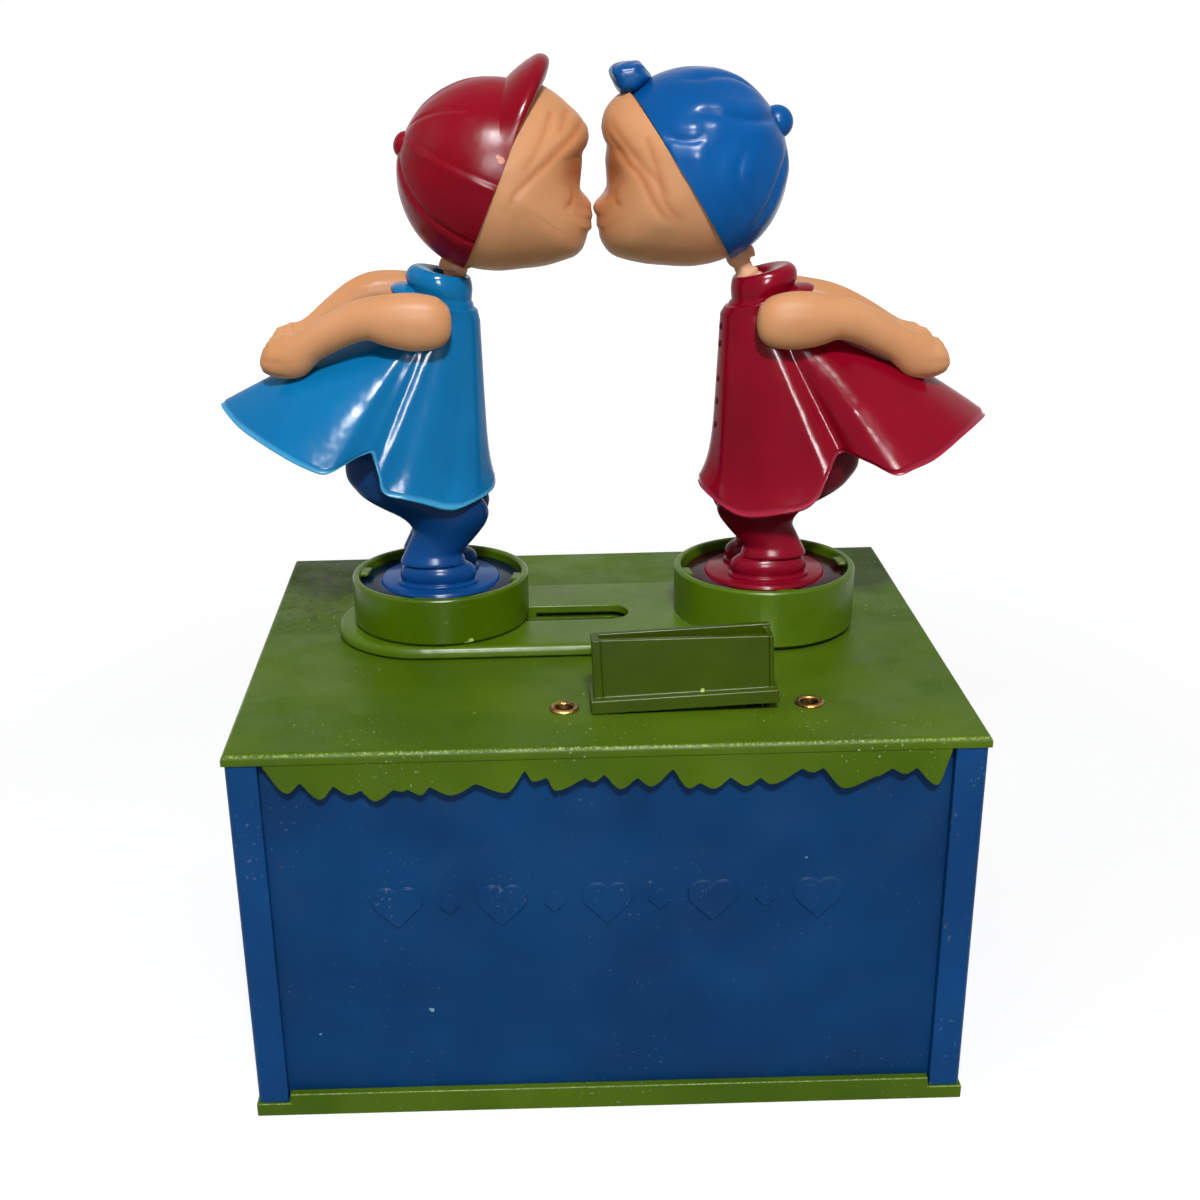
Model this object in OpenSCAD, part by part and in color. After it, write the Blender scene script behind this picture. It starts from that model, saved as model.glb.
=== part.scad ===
// Battery-operated coin bank: two doll figures in round cups on a green lid, over a blue box.
// Origin: centre of the base's underside. +X to the right, +Y to the back, +Z up. Millimetres.

/* [Box] */
// Width of the lid and the base
box_w = 140; // [136:1:144]
// Depth of the lid and the base
box_d = 111; // [108:1:114]
// Height of the lid's top face
box_h = 79.2; // [78:0.2:82]
// Thickness of the lid plate
lid_t = 2.2; // [2:0.1:2.4]
// Thickness of the base plate
base_t = 2.9; // [2.8:0.1:3.2]
// Height of the lip that stands between the posts on the base plate
lip_h = 2.1; // [1.5:0.1:3]
// Thickness of the box panels
panel_t = 2; // [1.8:0.1:2.2]
// Width of a corner post
post_w = 6; // [5.5:0.5:6.5]
// Height of the raised ornament on the front panel
relief_h = 0.4; // [0.3:0.1:0.8]

/* [Track and cups] */
// Distance of the figures' row behind the middle of the box
row_y = 6.8; // [6:0.2:8]
// Place of the moving cup at rest
left_x = -32.2; // [-33:0.1:-31.6]
// Place of the fixed cup
right_x = 36.5; // [36.4:0.1:37]
// Thickness of the track plate
plate_t = 2.8; // [2.4:0.1:3]
// Half the width of the track plate and outer radius of the fixed cup
plate_r = 19; // [18.8:0.1:19.4]
// Outer radius of the moving cup
cup_r = 18.6; // [18.2:0.1:18.8]
// Height of a cup's rim
rim_z = 92.2; // [92:0.1:93]
// Width of the slot that guides the moving cup
slot_w = 8.6; // [8.2:0.1:9]
// Travel of the moving cup
stroke = 9; // [7:0.5:9]

/* [Coin chute] */
// Length of the coin slot
coin_l = 31.2; // [30:0.2:32]
// Width of the coin slot
coin_w = 3.3; // [3:0.1:3.6]
// Height of the chute above the lid
chute_h = 14.6; // [13:0.2:15]
// Angle at which the chute's right end stands up at rest
chute_tilt = 2.4; // [1.6:0.1:2.6]

/* [Figures] */
// Half the length of a head, from the back of the skull to the temple
head_r = 17.9; // [17.7:0.1:18.1]
// Half the width of a head
head_side = 16; // [15:0.5:17]
// Thickness of a dress
dress_t = 1.4; // [1.2:0.1:1.6]

/* [Gears] */
// Teeth of a full turn of the pinion that drives the rack
drive_teeth = 16; // [16:1:16]
// Module of the rack and its pinion
drive_m = 0.75; // [0.75:0.01:0.76]
// Teeth of each large gear
wheel_teeth = 40; // [40:1:40]
// Teeth of each small pinion
pinion_teeth = 10; // [10:1:10]
// Module of the second gear pair
second_m = 0.6; // [0.6:0.01:0.61]
// Module of the first gear pair
first_m = 0.5; // [0.5:0.01:0.51]

/* [Hidden] */
$fn = 48;

// Colours as the photo shows them
leaf_green = "#5c7819";
box_blue = "#12508c";
light_blue = "#1e82be";
navy_blue = "#174a86";
cap_blue = "#0a559b";
crimson = "#a0102d";
flesh = "#e6ac79";
brass = "#a8814a";
steel = "#9aa0a6";
dark = "#2c2a28";

// Levels of the box
lid_z = box_h - lid_t;
edge_x = box_w / 2;
edge_y = box_d / 2;
post_gap = 0.4;
post_x = edge_x - post_gap;
post_y = edge_y - post_gap;
recess = 2;
panel_y = post_y - recess;
panel_x = post_x - recess - 0.3;
lip_t = 1.8;
column_x = 61.8;
column_y = 47;
column_w = 7;
column_top = 69.8;
lid_boss_r = 3.2;
tie_r = 1.5;

// Levels of the track and the cups
plate_z = box_h + plate_t;
plate_left = -35.3;
slot_left = -48;
slot_right = 7.6;
slide_gap = 0.3;
cup_z = plate_z + slide_gap;
cup_wall = 1.5;
cup_floor = 1.6;
ledge_z = 88.9;
ledge_r = 14.6;
lug_z = 90.9;
lug_reach = 1.7;
lug_w = 4;
keel_l = 24;
keel_w = 7.6;
bar_top = lid_z - slide_gap;
bar_t = 3;
bar_z = bar_top - bar_t;
bar_left = -52;
bar_right = -10;
bar_front = row_y - 5.8;

// Rack and gear train: levels, then centres
drive_r = drive_m * drive_teeth / 2;
rack_y = row_y + 6.8;
mesh_gap = 0.1;
output_x = -20;
output_y = rack_y + drive_r + mesh_gap;
second_d = second_m * (wheel_teeth + pinion_teeth) / 2 + mesh_gap;
compound_a = 20;
compound_x = output_x + second_d * cos(compound_a);
compound_y = output_y + second_d * sin(compound_a);
first_d = first_m * (wheel_teeth + pinion_teeth) / 2 + mesh_gap;
motor_x = compound_x + first_d;
motor_y = compound_y;
arbor_r = 1.2;
hub_gap = 0.05;
gear_plate_z = 63;
gear_plate_t = 1.5;
gear_z0 = gear_plate_z + gear_plate_t + 0.2;
first_z = 66.2;
second_z = 69.3;
face_w = 2;
pillar_r = 2.8;
pillars = [[-36.5, 18.5], [-36.5, 38.5], [17.5, 38.5], [17.5, 17.5]];
motor_r = 10.2;
motor_l = 25;
shaft_r = 1;
spring_post_x = -58.5;

// Coin chute, drawn flat on the lid and then tilted about its pin
chute_x0 = -2;
chute_x1 = 33.4;
chute_y0 = -41.5;
chute_y1 = -32.5;
flange_t = 2.6;
seat_gap = 0.3;
coin_x0 = 0.2;
coin_y0 = -38.9;
chute_wall = 1.3;
pin_x = 0.8;
pin_z = 74.2;
chute_pin_r = 1;
leg_t = 1.2;
leg_front_y = -40.9;
leg_back_y = -34.9;
nib_x = 28;
nib_z = 74.75;
eyelet_y = -38.1;
eyelet_xs = [-7.3, 39.4];
eyelet_r = 2.1;
bracket_t = 0.8;
cheek_r = 2.7;
bracket_z = lid_z - bracket_t;

// Doors and the battery
door_w = 39.4;
door_top = 39.2;
door_pin_y = 51.6;
door_pin_z = 13.4;
door_pin_r = 1;
barrel_r = 1.7;
cell_r = 7.1;
cell_y = 36;
cell_z = 10.6;
hatch_w = 56;
hatch_y0 = 28.8;
hatch_y1 = 43.2;
channel_y0 = 27;
channel_w = 60.8;
channel_lip_w = 57.2;

// Figures: 0 is the left one, 1 the right one. Local frame: x towards the partner, z up.
head_x = [13.7, 16.4];
head_z = [172.8, 172.8];
head_tops = [17.1, 18.1];
head_bottom = 18.2;
cap_axis = [-23.5, -32];
cap_edge = [85.6, 81.9];
neck_ball = [[5.8, 155.2], [7.0, 156.2]];
neck_foot = [2.6, 146.6];
ball_r = 2.5;
socket_gap = 0.12;
lug_r = 3.3;
around = 36;

// Features of a face: elevation, side angle, height, then the spread of each in degrees
face_features = [
  [-42, 0, 4.3, 22, 40],
  [-23, 0, 0.85, 7, 11],
  [28, 0, 2.2, 13, 44],
  [-4, 0, -1.2, 11, 32],
  [52, 0, 1.4, 16, 40]
];

// Half the hem of each dress, from the front round to the back: x, side distance, z
hems = [
  [[13, 0, 111.9], [11.6, 6, 110.8], [7.4, 11, 110.2], [3, 14.2, 110.5], [-1.5, 15, 111.6],
   [-6, 15.1, 113], [-9.6, 14.7, 115.4], [-12, 14.2, 121.8], [-19.4, 19, 119.9],
   [-27.5, 18.6, 121.8], [-38, 11, 127], [-43.1, 0, 130.2]],
  [[14.8, 0, 110.9], [13, 6, 109.4], [8, 12.4, 107.5], [1.8, 15, 106.9], [-4.7, 15.5, 108.2],
   [-9.9, 15, 111], [-12.6, 14, 115], [-14.2, 13.8, 119.6], [-21.4, 19.3, 116.9],
   [-29.5, 19, 116.9], [-39.5, 11, 121.8], [-44.7, 0, 124.2]]
];
// Rings of the collar and chest: x, z, half length, half width, forward tilt
collar_rings = [
  [3.2, 154, 4.4, 4.3, 14], [2.8, 154.4, 5.4, 5.2, 14], [2.4, 153.5, 6.5, 6.1, 13],
  [2.3, 152, 6.8, 6.3, 12], [2.5, 150.6, 6.2, 5.7, 12], [2.9, 149.4, 6.9, 5.6, 10],
  [3.2, 145.5, 7.2, 5.8, 5]
];
collar_t = 1.2;
// How far down each ring of the skirt lies, as a share of the way from the chest to the hem
skirt_steps = [0.12, 0.27, 0.45, 0.64, 0.82, 0.94, 1];

// Stations of each figure's arms, from the shoulder to the hand: x, side distance, z, half width,
// half height
arm_stations = [
  [[4.7, 9.7, 146.2, 0.9, 1.3], [3.9, 9.8, 146.2, 2.2, 3.4], [1.8, 9.8, 146.2, 3.2, 4.9],
   [-2, 9.8, 146.4, 3.6, 5.5], [-6.5, 9.7, 146.8, 3.7, 5.2], [-11, 9.2, 147.2, 3.6, 4.3],
   [-15, 8.6, 146.2, 3.4, 3.8], [-19.5, 7.6, 144, 3.2, 3.6], [-23, 6.8, 141.9, 3, 3.4],
   [-26.3, 6, 140.2, 3.2, 4.1], [-29, 5.6, 139.7, 3.2, 4], [-31.5, 5.4, 139.5, 2.6, 3.1],
   [-32.6, 5.3, 139.5, 1, 1.2]],
  [[4, 9.7, 144.9, 0.9, 1.3], [3.2, 9.8, 144.9, 2.2, 3.4], [1.2, 9.8, 144.9, 3.2, 4.9],
   [-2.5, 9.8, 145, 3.6, 5.5], [-7, 9.7, 145.1, 3.7, 5.2], [-11.5, 9.2, 145.2, 3.6, 4.3],
   [-15.5, 8.6, 144.1, 3.4, 3.9], [-20, 7.6, 141.9, 3.2, 3.7], [-24.5, 6.8, 139.3, 3, 3.5],
   [-27.8, 6, 137.4, 3.2, 4.2], [-30.5, 5.6, 136.6, 3.2, 4.1], [-32.8, 5.4, 136.4, 2.5, 3],
   [-33.8, 5.3, 136.4, 1, 1.2]]
];
// How much higher the elbow of the far arm is than the near one's
far_elbow = [2.2, 0];

// Pegs of the arms, which go through the dress into the core of the legs and so hold all three
peg_x = 0.6;
peg_z = 143.6;
peg_r = 1.6;
peg_end = 1.9;

// Stations of a leg, from the sole up into the hip: z, back x, front x, half width
leg_stations = [
  [91.1, -7.8, 7.2, 4.3], [92.2, -8.6, 8, 4.6], [93.6, -8.5, 7.9, 4.6], [95.3, -7.7, 6.6, 4.3],
  [97.6, -6.9, 5.7, 3.9], [100.5, -5.8, 7.6, 4], [103.3, -4.7, 9.6, 4.4], [106, -7.6, 10.8, 4.9],
  [108.6, -12.6, 9.8, 5], [111.5, -16, 8, 4.9], [115, -18, 6.4, 4.8], [120, -17, 5, 4.4],
  [125, -11, 4, 3.7], [129, -6, 3, 3.1]
];
leg_y = 4.8;
disc_r = 12.5;
disc_top = 91.3;
foot_flange_r = 16.8;

// Helpers

function lerp(a, b, t) = a + (b - a) * t;
function unit(v) = v / norm(v);
function bell(x, w) = exp(-(x / w) * (x / w));
// Curve through a ring of points, at a place counted in points
function round_curve(p, u) =
  let(n = len(p), i = floor(u), t = u - i,
      a = p[(i + n - 1) % n], b = p[i % n], c = p[(i + 1) % n], d = p[(i + 2) % n])
  0.5 * (2 * b + (c - a) * t + (2 * a - 5 * b + 4 * c - d) * t * t
         + (3 * b - a - 3 * c + d) * t * t * t);

// Closed solid through rings of points, ended by a point at each end. Seen along the way the
// rings follow each other, each ring runs clockwise.
module skin(rings, first, last) {
  n = len(rings[0]);
  m = len(rings);
  points = concat([for (r = rings) each r], [first, last]);
  sides = [for (i = [0:m - 2], j = [0:n - 1], k = [0, 1])
    let(a = i * n + j, b = i * n + (j + 1) % n)
    k == 0 ? [a, b + n, b] : [a, a + n, b + n]];
  ends = [for (j = [0:n - 1], k = [0, 1])
    k == 0 ? [m * n, j, (j + 1) % n] : [m * n + 1, (m - 1) * n + (j + 1) % n, (m - 1) * n + j]];
  polyhedron(points, concat(sides, ends));
}

// Closed solid through rings of points, whose last ring joins the first
module skin_loop(rings) {
  n = len(rings[0]);
  m = len(rings);
  sides = [for (i = [0:m - 1], j = [0:n - 1], k = [0, 1])
    let(a = i * n + j, b = i * n + (j + 1) % n, up = ((i + 1) % m) * n)
    k == 0 ? [a, b, up + (j + 1) % n] : [a, up + (j + 1) % n, up + j]];
  polyhedron([for (r = rings) each r], sides);
}

// Tube along a list of points
function tube_rings(path, r, sides) =
  [for (i = [0:len(path) - 1])
    let(t = unit(path[min(i + 1, len(path) - 1)] - path[max(i - 1, 0)]),
        s = unit(cross(t, abs(t.z) > 0.9 ? [1, 0, 0] : [0, 0, 1])), u = cross(t, s))
    [for (j = [0:sides - 1]) path[i] + r * (cos(j * 360 / sides) * s + sin(j * 360 / sides) * u)]];
module tube(path, r, sides) {
  rings = tube_rings(path, r, sides);
  skin(rings, path[0], path[len(path) - 1]);
}

module box(x0, x1, y0, y1, z0, z1) {
  translate([x0, y0, z0]) cube([x1 - x0, y1 - y0, z1 - z0]);
}
module rod_y(x, z, r, y0, y1) {
  translate([x, y0, z]) rotate([-90, 0, 0]) cylinder(r = r, h = y1 - y0);
}
module rod_x(y, z, r, x0, x1) {
  translate([x0, y, z]) rotate([0, 90, 0]) cylinder(r = r, h = x1 - x0);
}
module rod_z(x, y, r, z0, z1) {
  translate([x, y, z0]) cylinder(r = r, h = z1 - z0);
}
module corners() {
  for (sx = [-1, 1], sy = [-1, 1]) translate([sx * column_x, sy * column_y, 0]) children();
}

// Gear teeth: half the angle of a tooth at radius r, and the outline of a gear
function involute(r, base) = r <= base ? 0 : let(a = acos(base / r)) tan(a) * 180 / PI - a;
function tooth_half(r, m, teeth, play) =
  let(pitch = m * teeth / 2, base = pitch * cos(20))
  (90 / teeth) - play / pitch / 2 * 180 / PI + involute(pitch, base) - involute(r, base)
  - (r < base ? (base - r) / pitch * 20 : 0);
function gear_outline(m, teeth, add, ded, play, present) =
  let(pitch = m * teeth / 2, root = pitch - ded * m, tip = pitch + add * m,
      radii = [root, max(pitch * cos(20), root + 0.15 * m), pitch, pitch + 0.5 * add * m, tip])
  [for (k = [0:teeth - 1], s = [-1, 1], i = [0:len(radii) - 1])
    let(r = s < 0 ? radii[i] : radii[len(radii) - 1 - i],
        a = k * 360 / teeth + s * max(tooth_half(r, m, teeth, play), 0.6))
    if (k < present || r == root) [r * cos(a), r * sin(a)]];
module gear(m, teeth, add, z0, z1, turn, present = 1000) {
  translate([0, 0, z0]) rotate([0, 0, turn]) linear_extrude(z1 - z0)
    polygon(gear_outline(m, teeth, add, 1.2, 0.16, present));
}

// Box

module panel_lips() {
  x = edge_x - post_w - 0.8;
  y = edge_y - post_w - 0.8;
  for (s = [-1, 1]) {
    box(-x, x, s < 0 ? -edge_y : edge_y - lip_t, s < 0 ? lip_t - edge_y : edge_y, 0, base_t + lip_h);
    box(s < 0 ? -edge_x : edge_x - lip_t, s < 0 ? lip_t - edge_x : edge_x, -y, y, 0, base_t + lip_h);
  }
}

module base_tray() {
  color(leaf_green) difference() {
    union() {
      box(-edge_x, edge_x, -edge_y, edge_y, 0, base_t);
      panel_lips();
    }
    corners() {
      rod_z(0, 0, tie_r + 0.2, -1, base_t + 1);
      rod_z(0, 0, 3.2, -1, 2.1);
    }
    box(-hatch_w / 2, hatch_w / 2, hatch_y0, hatch_y1, -1, base_t + 1);
    box(-channel_w / 2, channel_w / 2, channel_y0, edge_y + 1, 0.7, 2.3);
    box(-channel_lip_w / 2, channel_lip_w / 2, channel_y0, edge_y + 1, -1, 1);
  }
}

// Side wall with its two corner posts and screw columns, drawn for the left side
module side_wall() {
  difference() {
    union() {
      box(-panel_x, panel_t - panel_x, -post_y + post_w - 1, post_y - post_w + 1, base_t, lid_z);
      for (s = [-1, 1]) {
        translate([-post_x, s < 0 ? -post_y : post_y - post_w, base_t]) post(s);
        translate([-column_x, s * column_y, 0])
          box(-column_w / 2, column_w / 2, -column_w / 2, column_w / 2, base_t, column_top);
      }
    }
    for (s = [-1, 1]) {
      rod_z(-column_x, s * column_y, tie_r + 0.3, base_t - 1, column_top + 1);
      groove_in = -post_x + post_w - 1.4;
      y0 = s < 0 ? -panel_y - 0.2 : panel_y - panel_t - 0.2;
      box(groove_in, groove_in + 2, y0, y0 + panel_t + 0.4, base_t - 1, lid_z + 1);
    }
  }
}
module post(s) {
  r = 1.2;
  linear_extrude(lid_z - base_t) difference() {
    square(post_w);
    translate([0, s < 0 ? 0 : post_w - r]) difference() {
      translate([-0.01, s < 0 ? -0.01 : 0]) square(r + 0.01);
      translate([r, s < 0 ? r : 0]) circle(r);
    }
  }
}
module left_wall() { color(box_blue) side_wall(); }
module right_wall() { color(box_blue) mirror([1, 0, 0]) side_wall(); }

panel_half = post_x - post_w + 1.2;
module heart(size) {
  rotate(45) {
    square(size);
    translate([size / 2, size]) circle(size / 2);
    translate([size, size / 2]) circle(size / 2);
  }
}
module front_panel() {
  color(box_blue) {
    box(-panel_half, panel_half, -panel_y, panel_t - panel_y, base_t, lid_z);
    translate([0, -panel_y, 46]) rotate([90, 0, 0]) linear_extrude(relief_h) {
      for (i = [-2:2]) translate([i * 20, -5]) heart(5.6);
      for (i = [-2:1]) translate([i * 20 + 10, 0]) rotate(45) square(3.2, center = true);
    }
  }
}

module back_panel() {
  color(box_blue) difference() {
    union() {
      box(-panel_half, panel_half, panel_y - panel_t, panel_y, base_t, lid_z);
      box(-24.5, 24.5, panel_y - 4, panel_y - panel_t, 8, 43);
    }
    box(-door_w / 2 - 0.3, door_w / 2 + 0.3, panel_y - 2.1, panel_y + 1, 11.5, door_top + 0.3);
    box(-door_w / 2 - 0.3, door_w / 2 + 0.3, panel_y - 5, panel_y, 11.5, 17);
    box(-18, 18, panel_y - 5, panel_y, 11.5, door_top - 1.4);
    rod_x(door_pin_y, door_pin_z, door_pin_r + hub_gap, -22.6, 22.6);
  }
}

// Drips of the lid's fringe: place along the front edge and drop below the lid
drips = [
  [-62.5, 0.6], [-58.5, 5.8], [-56, 3.8], [-52.5, 7.2], [-50, 4.6], [-47, 6.4], [-45, 5.6],
  [-42.5, 7.8], [-39, 5.6], [-37.5, 6], [-36.5, 5.6], [-34, 6.8], [-32.5, 5.2], [-28.5, 7],
  [-24, 4.8], [-18.5, 6.8], [-15, 2.4], [-13.5, 4.6], [-11, 4], [-9.5, 6.6], [-4, 4.2],
  [-2.5, 5], [-0.5, 3.6], [2.5, 6.6], [5.5, 4.4], [8, 6.2], [12, 2.8], [15, 6.8], [17, 5.8],
  [19.5, 7], [22.5, 4.8], [25.5, 6.6], [28, 5], [30, 6.4], [35.5, 3.4], [37.5, 4.2],
  [39.5, 3.4], [43.5, 7.6], [49, 5.4], [52, 3.8], [54.5, 5], [56.5, 3.8], [60.5, 7.4],
  [62.8, 0.6]
];
fringe_t = 1.2;
drip_steps = 6;
// A drip is broad and round at its foot, and the gap between two drips is narrow
function drip_share(t, down) = 0.35 * (1 - cos(180 * t)) / 2 + 0.65 * (down ? sin(90 * t) : 1 - cos(90 * t));
function fringe_edge(list) =
  [for (i = [0:len(list) - 2], k = [0:drip_steps - 1])
    let(t = k / drip_steps, s = drip_share(t, list[i + 1].y > list[i].y))
    [lerp(list[i].x, list[i + 1].x, t), -lerp(list[i].y, list[i + 1].y, s)]];
module fringe(list) {
  n = len(list);
  outline = concat([[list[0].x, 0.5]], fringe_edge(list), [[list[n - 1].x, -0.6], [list[n - 1].x, 0.5]]);
  translate([0, fringe_t, lid_z]) rotate([90, 0, 0]) linear_extrude(fringe_t) polygon(outline);
}
side_drips = concat([[-48, 0.6]], [for (d = drips) if (abs(d.x) < 46) d], [[48, 0.6]]);

module chute_openings(extra) {
  x = coin_x0 - 0.2;
  z0 = bracket_z - 1;
  box(x - extra, coin_x0 + coin_l + 0.4 + extra, coin_y0 - 0.3 - extra,
      coin_y0 + coin_w + 0.3 + extra, z0, box_h + 1);
  box(pin_x - 2.3 - extra, pin_x + 3.2 + extra, leg_front_y - 0.2 - extra,
      leg_back_y + leg_t + 0.3 + extra, z0, box_h + 1);
  box(nib_x - 0.4 - extra, nib_x + 3.4 + extra, coin_y0 + 3, leg_back_y + leg_t + 0.3 + extra,
      z0, box_h + 1);
}
module slot_cut(z0, z1) {
  r = slot_w / 2;
  rod_z(slot_left + r, row_y, r, z0, z1);
  rod_z(slot_right - r, row_y, r, z0, z1);
  box(slot_left + r, slot_right - r, row_y - r, row_y + r, z0, z1);
}
track_screw_xs = [28, 45];
// Rounding of the lid's top edge: how far in, and how far below the top
lid_rounding = [[0, 1], [0.15, 0.5], [0.5, 0.15], [1, 0]];
fringe_back = 0.2;

module lid() {
  color(leaf_green) difference() {
    union() {
      // The lid's top edge is rounded
      hull() for (e = lid_rounding)
        box(e[0] - edge_x, edge_x - e[0], e[0] - edge_y, edge_y - e[0], lid_z, box_h - e[1]);
      for (turn = [0, 180]) rotate(turn) translate([0, fringe_back - edge_y, 0]) fringe(drips);
      for (turn = [90, -90]) rotate(turn) translate([0, fringe_back - edge_x, 0]) fringe(side_drips);
      corners() rod_z(0, 0, lid_boss_r, column_top, lid_z + 0.5);
      for (p = pillars) rod_z(p.x, p.y, pillar_r, gear_plate_z + gear_plate_t, lid_z + 0.5);
      rod_z(spring_post_x, row_y, 1.2, bar_z - 0.5, lid_z + 0.5);
    }
    slot_cut(lid_z - 1, box_h + 1);
    chute_openings(0);
    for (x = eyelet_xs) rod_z(x, eyelet_y, eyelet_r, lid_z - 1, box_h + 1);
    corners() rod_z(0, 0, tie_r, column_top - 1, 76);
    for (p = pillars) rod_z(p.x, p.y, 1, gear_plate_z, gear_plate_z + 9);
    for (x = track_screw_xs) rod_z(x, row_y, 1.3, lid_z - 1, box_h + 1);
    rod_z(output_x, output_y, arbor_r, lid_z - 1, lid_z + 1.1);
    rod_z(compound_x, compound_y, arbor_r, lid_z - 1, lid_z + 1.1);
  }
}

module screw(r, length, head_r, head_h) {
  difference() {
    union() {
      cylinder(r = r, h = length + head_h);
      cylinder(r = head_r, h = head_h);
    }
    for (a = [0, 90]) rotate(a) box(-head_r * 0.6, head_r * 0.6, -0.35, 0.35, -1, head_h * 0.55);
  }
}
module case_screws() {
  color(steel) corners() translate([0, 0, 0.5]) screw(tie_r, 73.6, 3, 1.6);
}

// Track, cups and the carriage

// Rounding of the plate's top edge: how far in, and how far below the top
plate_rounding = [[0, 1.3], [0.2, 0.7], [0.6, 0.2], [1.2, 0]];
plate_skin = 1.7;
module track_outline(r) {
  translate([plate_left, row_y]) circle(r);
  translate([right_x, row_y]) circle(r);
  translate([plate_left, row_y - r]) square([right_x - plate_left, 2 * r]);
}
module cup_body(outer, z0) {
  inner = outer - cup_wall;
  rotate_extrude() polygon([
    [0, z0], [outer - 0.3, z0], [outer, z0 + 0.4], [outer, rim_z - 0.4], [outer - 0.4, rim_z],
    [inner + 0.3, rim_z], [inner, rim_z - 0.4], [inner, ledge_z], [ledge_r, ledge_z],
    [ledge_r, z0 + cup_floor], [0, z0 + cup_floor]
  ]);
}
module cup_lugs(outer, turn) {
  inner = outer - cup_wall;
  for (i = [0:3]) rotate(turn + 90 * i)
    box(inner - lug_reach, inner + 0.6, -lug_w / 2, lug_w / 2, lug_z, rim_z - 0.5);
}

module track_plate() {
  color(leaf_green) difference() {
    union() {
      translate([0, 0, box_h]) linear_extrude(0.6) track_outline(plate_r - 0.8);
      // The plate's top edge is rounded
      hull() for (e = plate_rounding)
        translate([0, 0, box_h + 0.5]) linear_extrude(plate_t - 0.5 - e[1]) track_outline(plate_r - e[0]);
      translate([right_x, row_y, 0]) {
        rod_z(0, 0, plate_r, box_h + 0.5, plate_z);
        cup_body(plate_r, plate_z - 0.4);
        cup_lugs(plate_r, 8);
      }
    }
    slot_cut(box_h - 1, plate_z + 1);
    // Hollow under the plate behind the slot, and a gap under the edge of the fixed cup
    box(-12, slot_right + 2, row_y, row_y + slot_w / 2 + 2.2, box_h - 1, plate_z - plate_skin);
    difference() {
      box(right_x - 8, right_x + 25, row_y - 25, row_y + 25, box_h - 1, box_h + 1);
      rod_z(right_x, row_y, plate_r - 1.8, box_h - 2, box_h + 2);
      box(right_x - 9, right_x, row_y + 1.8 - plate_r, row_y - 1.8 + plate_r, box_h - 2, box_h + 2);
    }
    for (x = track_screw_xs) rod_z(x, row_y, 1.3, box_h - 1, 82.4);
  }
}
module track_screws() {
  color(steel) for (x = track_screw_xs)
    translate([x, row_y, lid_z - 1.2]) screw(1.3, 82.4 - lid_z, 2.6, 1.2);
}

module left_cup() {
  color(leaf_green) difference() {
    union() {
      translate([left_x, row_y, 0]) {
        cup_body(cup_r, cup_z);
        cup_lugs(cup_r, -10);
      }
      box(left_x - keel_l / 2, left_x + keel_l / 2, row_y - keel_w / 2, row_y + keel_w / 2,
          bar_top, cup_z + 0.5);
    }
    rod_z(left_x, row_y, arbor_r, bar_top - 1, 81.5);
  }
}

rack_x0 = -37;
rack_pitch = PI * drive_m;
module slider_bar() {
  root = rack_y - 1.25 * drive_m;
  tip = rack_y + 0.9 * drive_m;
  // Half a tooth at the pitch line, with a little play, and how much a flank leans
  half = rack_pitch / 4 - 0.05;
  lean = tan(20);
  teeth = 8;
  color(dark) difference() {
    union() {
      box(bar_left, bar_right, bar_front, root, bar_z, bar_top);
      for (i = [0:teeth - 1]) {
        x = output_x - (i - 1.5) * rack_pitch;
        translate([0, 0, bar_z]) linear_extrude(bar_t) polygon([
          [x - half - (rack_y - root) * lean, root - 0.1], [x - half - (rack_y - root) * lean, root],
          [x - half + (tip - rack_y) * lean, tip], [x + half - (tip - rack_y) * lean, tip],
          [x + half + (rack_y - root) * lean, root], [x + half + (rack_y - root) * lean, root - 0.1]
        ]);
      }
    }
    rod_z(left_x, row_y, arbor_r, bar_z - 1, bar_top + 1);
  }
}
module carriage_screw() {
  color(steel) translate([left_x, row_y, bar_z - 1.6]) screw(arbor_r, 81.5 - bar_z, 2.8, 1.6);
}

// Gear train and motor

module gear_plate() {
  color(steel) difference() {
    box(-41, 21.5, 14.5, 42.5, gear_plate_z, gear_plate_z + gear_plate_t);
    for (p = pillars) rod_z(p.x, p.y, 1.2, gear_plate_z - 1, gear_plate_z + 2);
    rod_z(output_x, output_y, arbor_r, gear_plate_z - 1, gear_plate_z + 2);
    rod_z(compound_x, compound_y, arbor_r, gear_plate_z - 1, gear_plate_z + 2);
    rod_z(motor_x, motor_y, 3, gear_plate_z - 1, gear_plate_z + 2);
  }
}
module plate_screws() {
  color(steel) for (p = pillars)
    translate([p.x, p.y, gear_plate_z - 1.2]) screw(1, 8.5, 2.2, 1.2);
}
module gear_arbors() {
  color(steel) {
    rod_z(output_x, output_y, arbor_r, gear_plate_z, lid_z + 1.1);
    rod_z(compound_x, compound_y, arbor_r, gear_plate_z, lid_z + 1.1);
  }
}
module motor_can() {
  color(steel) translate([motor_x, motor_y, 0]) difference() {
    union() {
      rod_z(0, 0, motor_r, gear_plate_z - motor_l, gear_plate_z);
      rod_z(0, 0, 3, gear_plate_z - 1, gear_plate_z + gear_plate_t);
    }
    rod_z(0, 0, shaft_r + hub_gap, gear_plate_z - 12, gear_plate_z + 3);
    for (s = [-1, 1]) box(s * motor_r - 1, s * motor_r + 1, -8, 8, gear_plate_z - 30, gear_plate_z - 4);
  }
}
module motor_shaft() {
  color(steel) rod_z(motor_x, motor_y, shaft_r, gear_plate_z - 11, 69.4);
}
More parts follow.
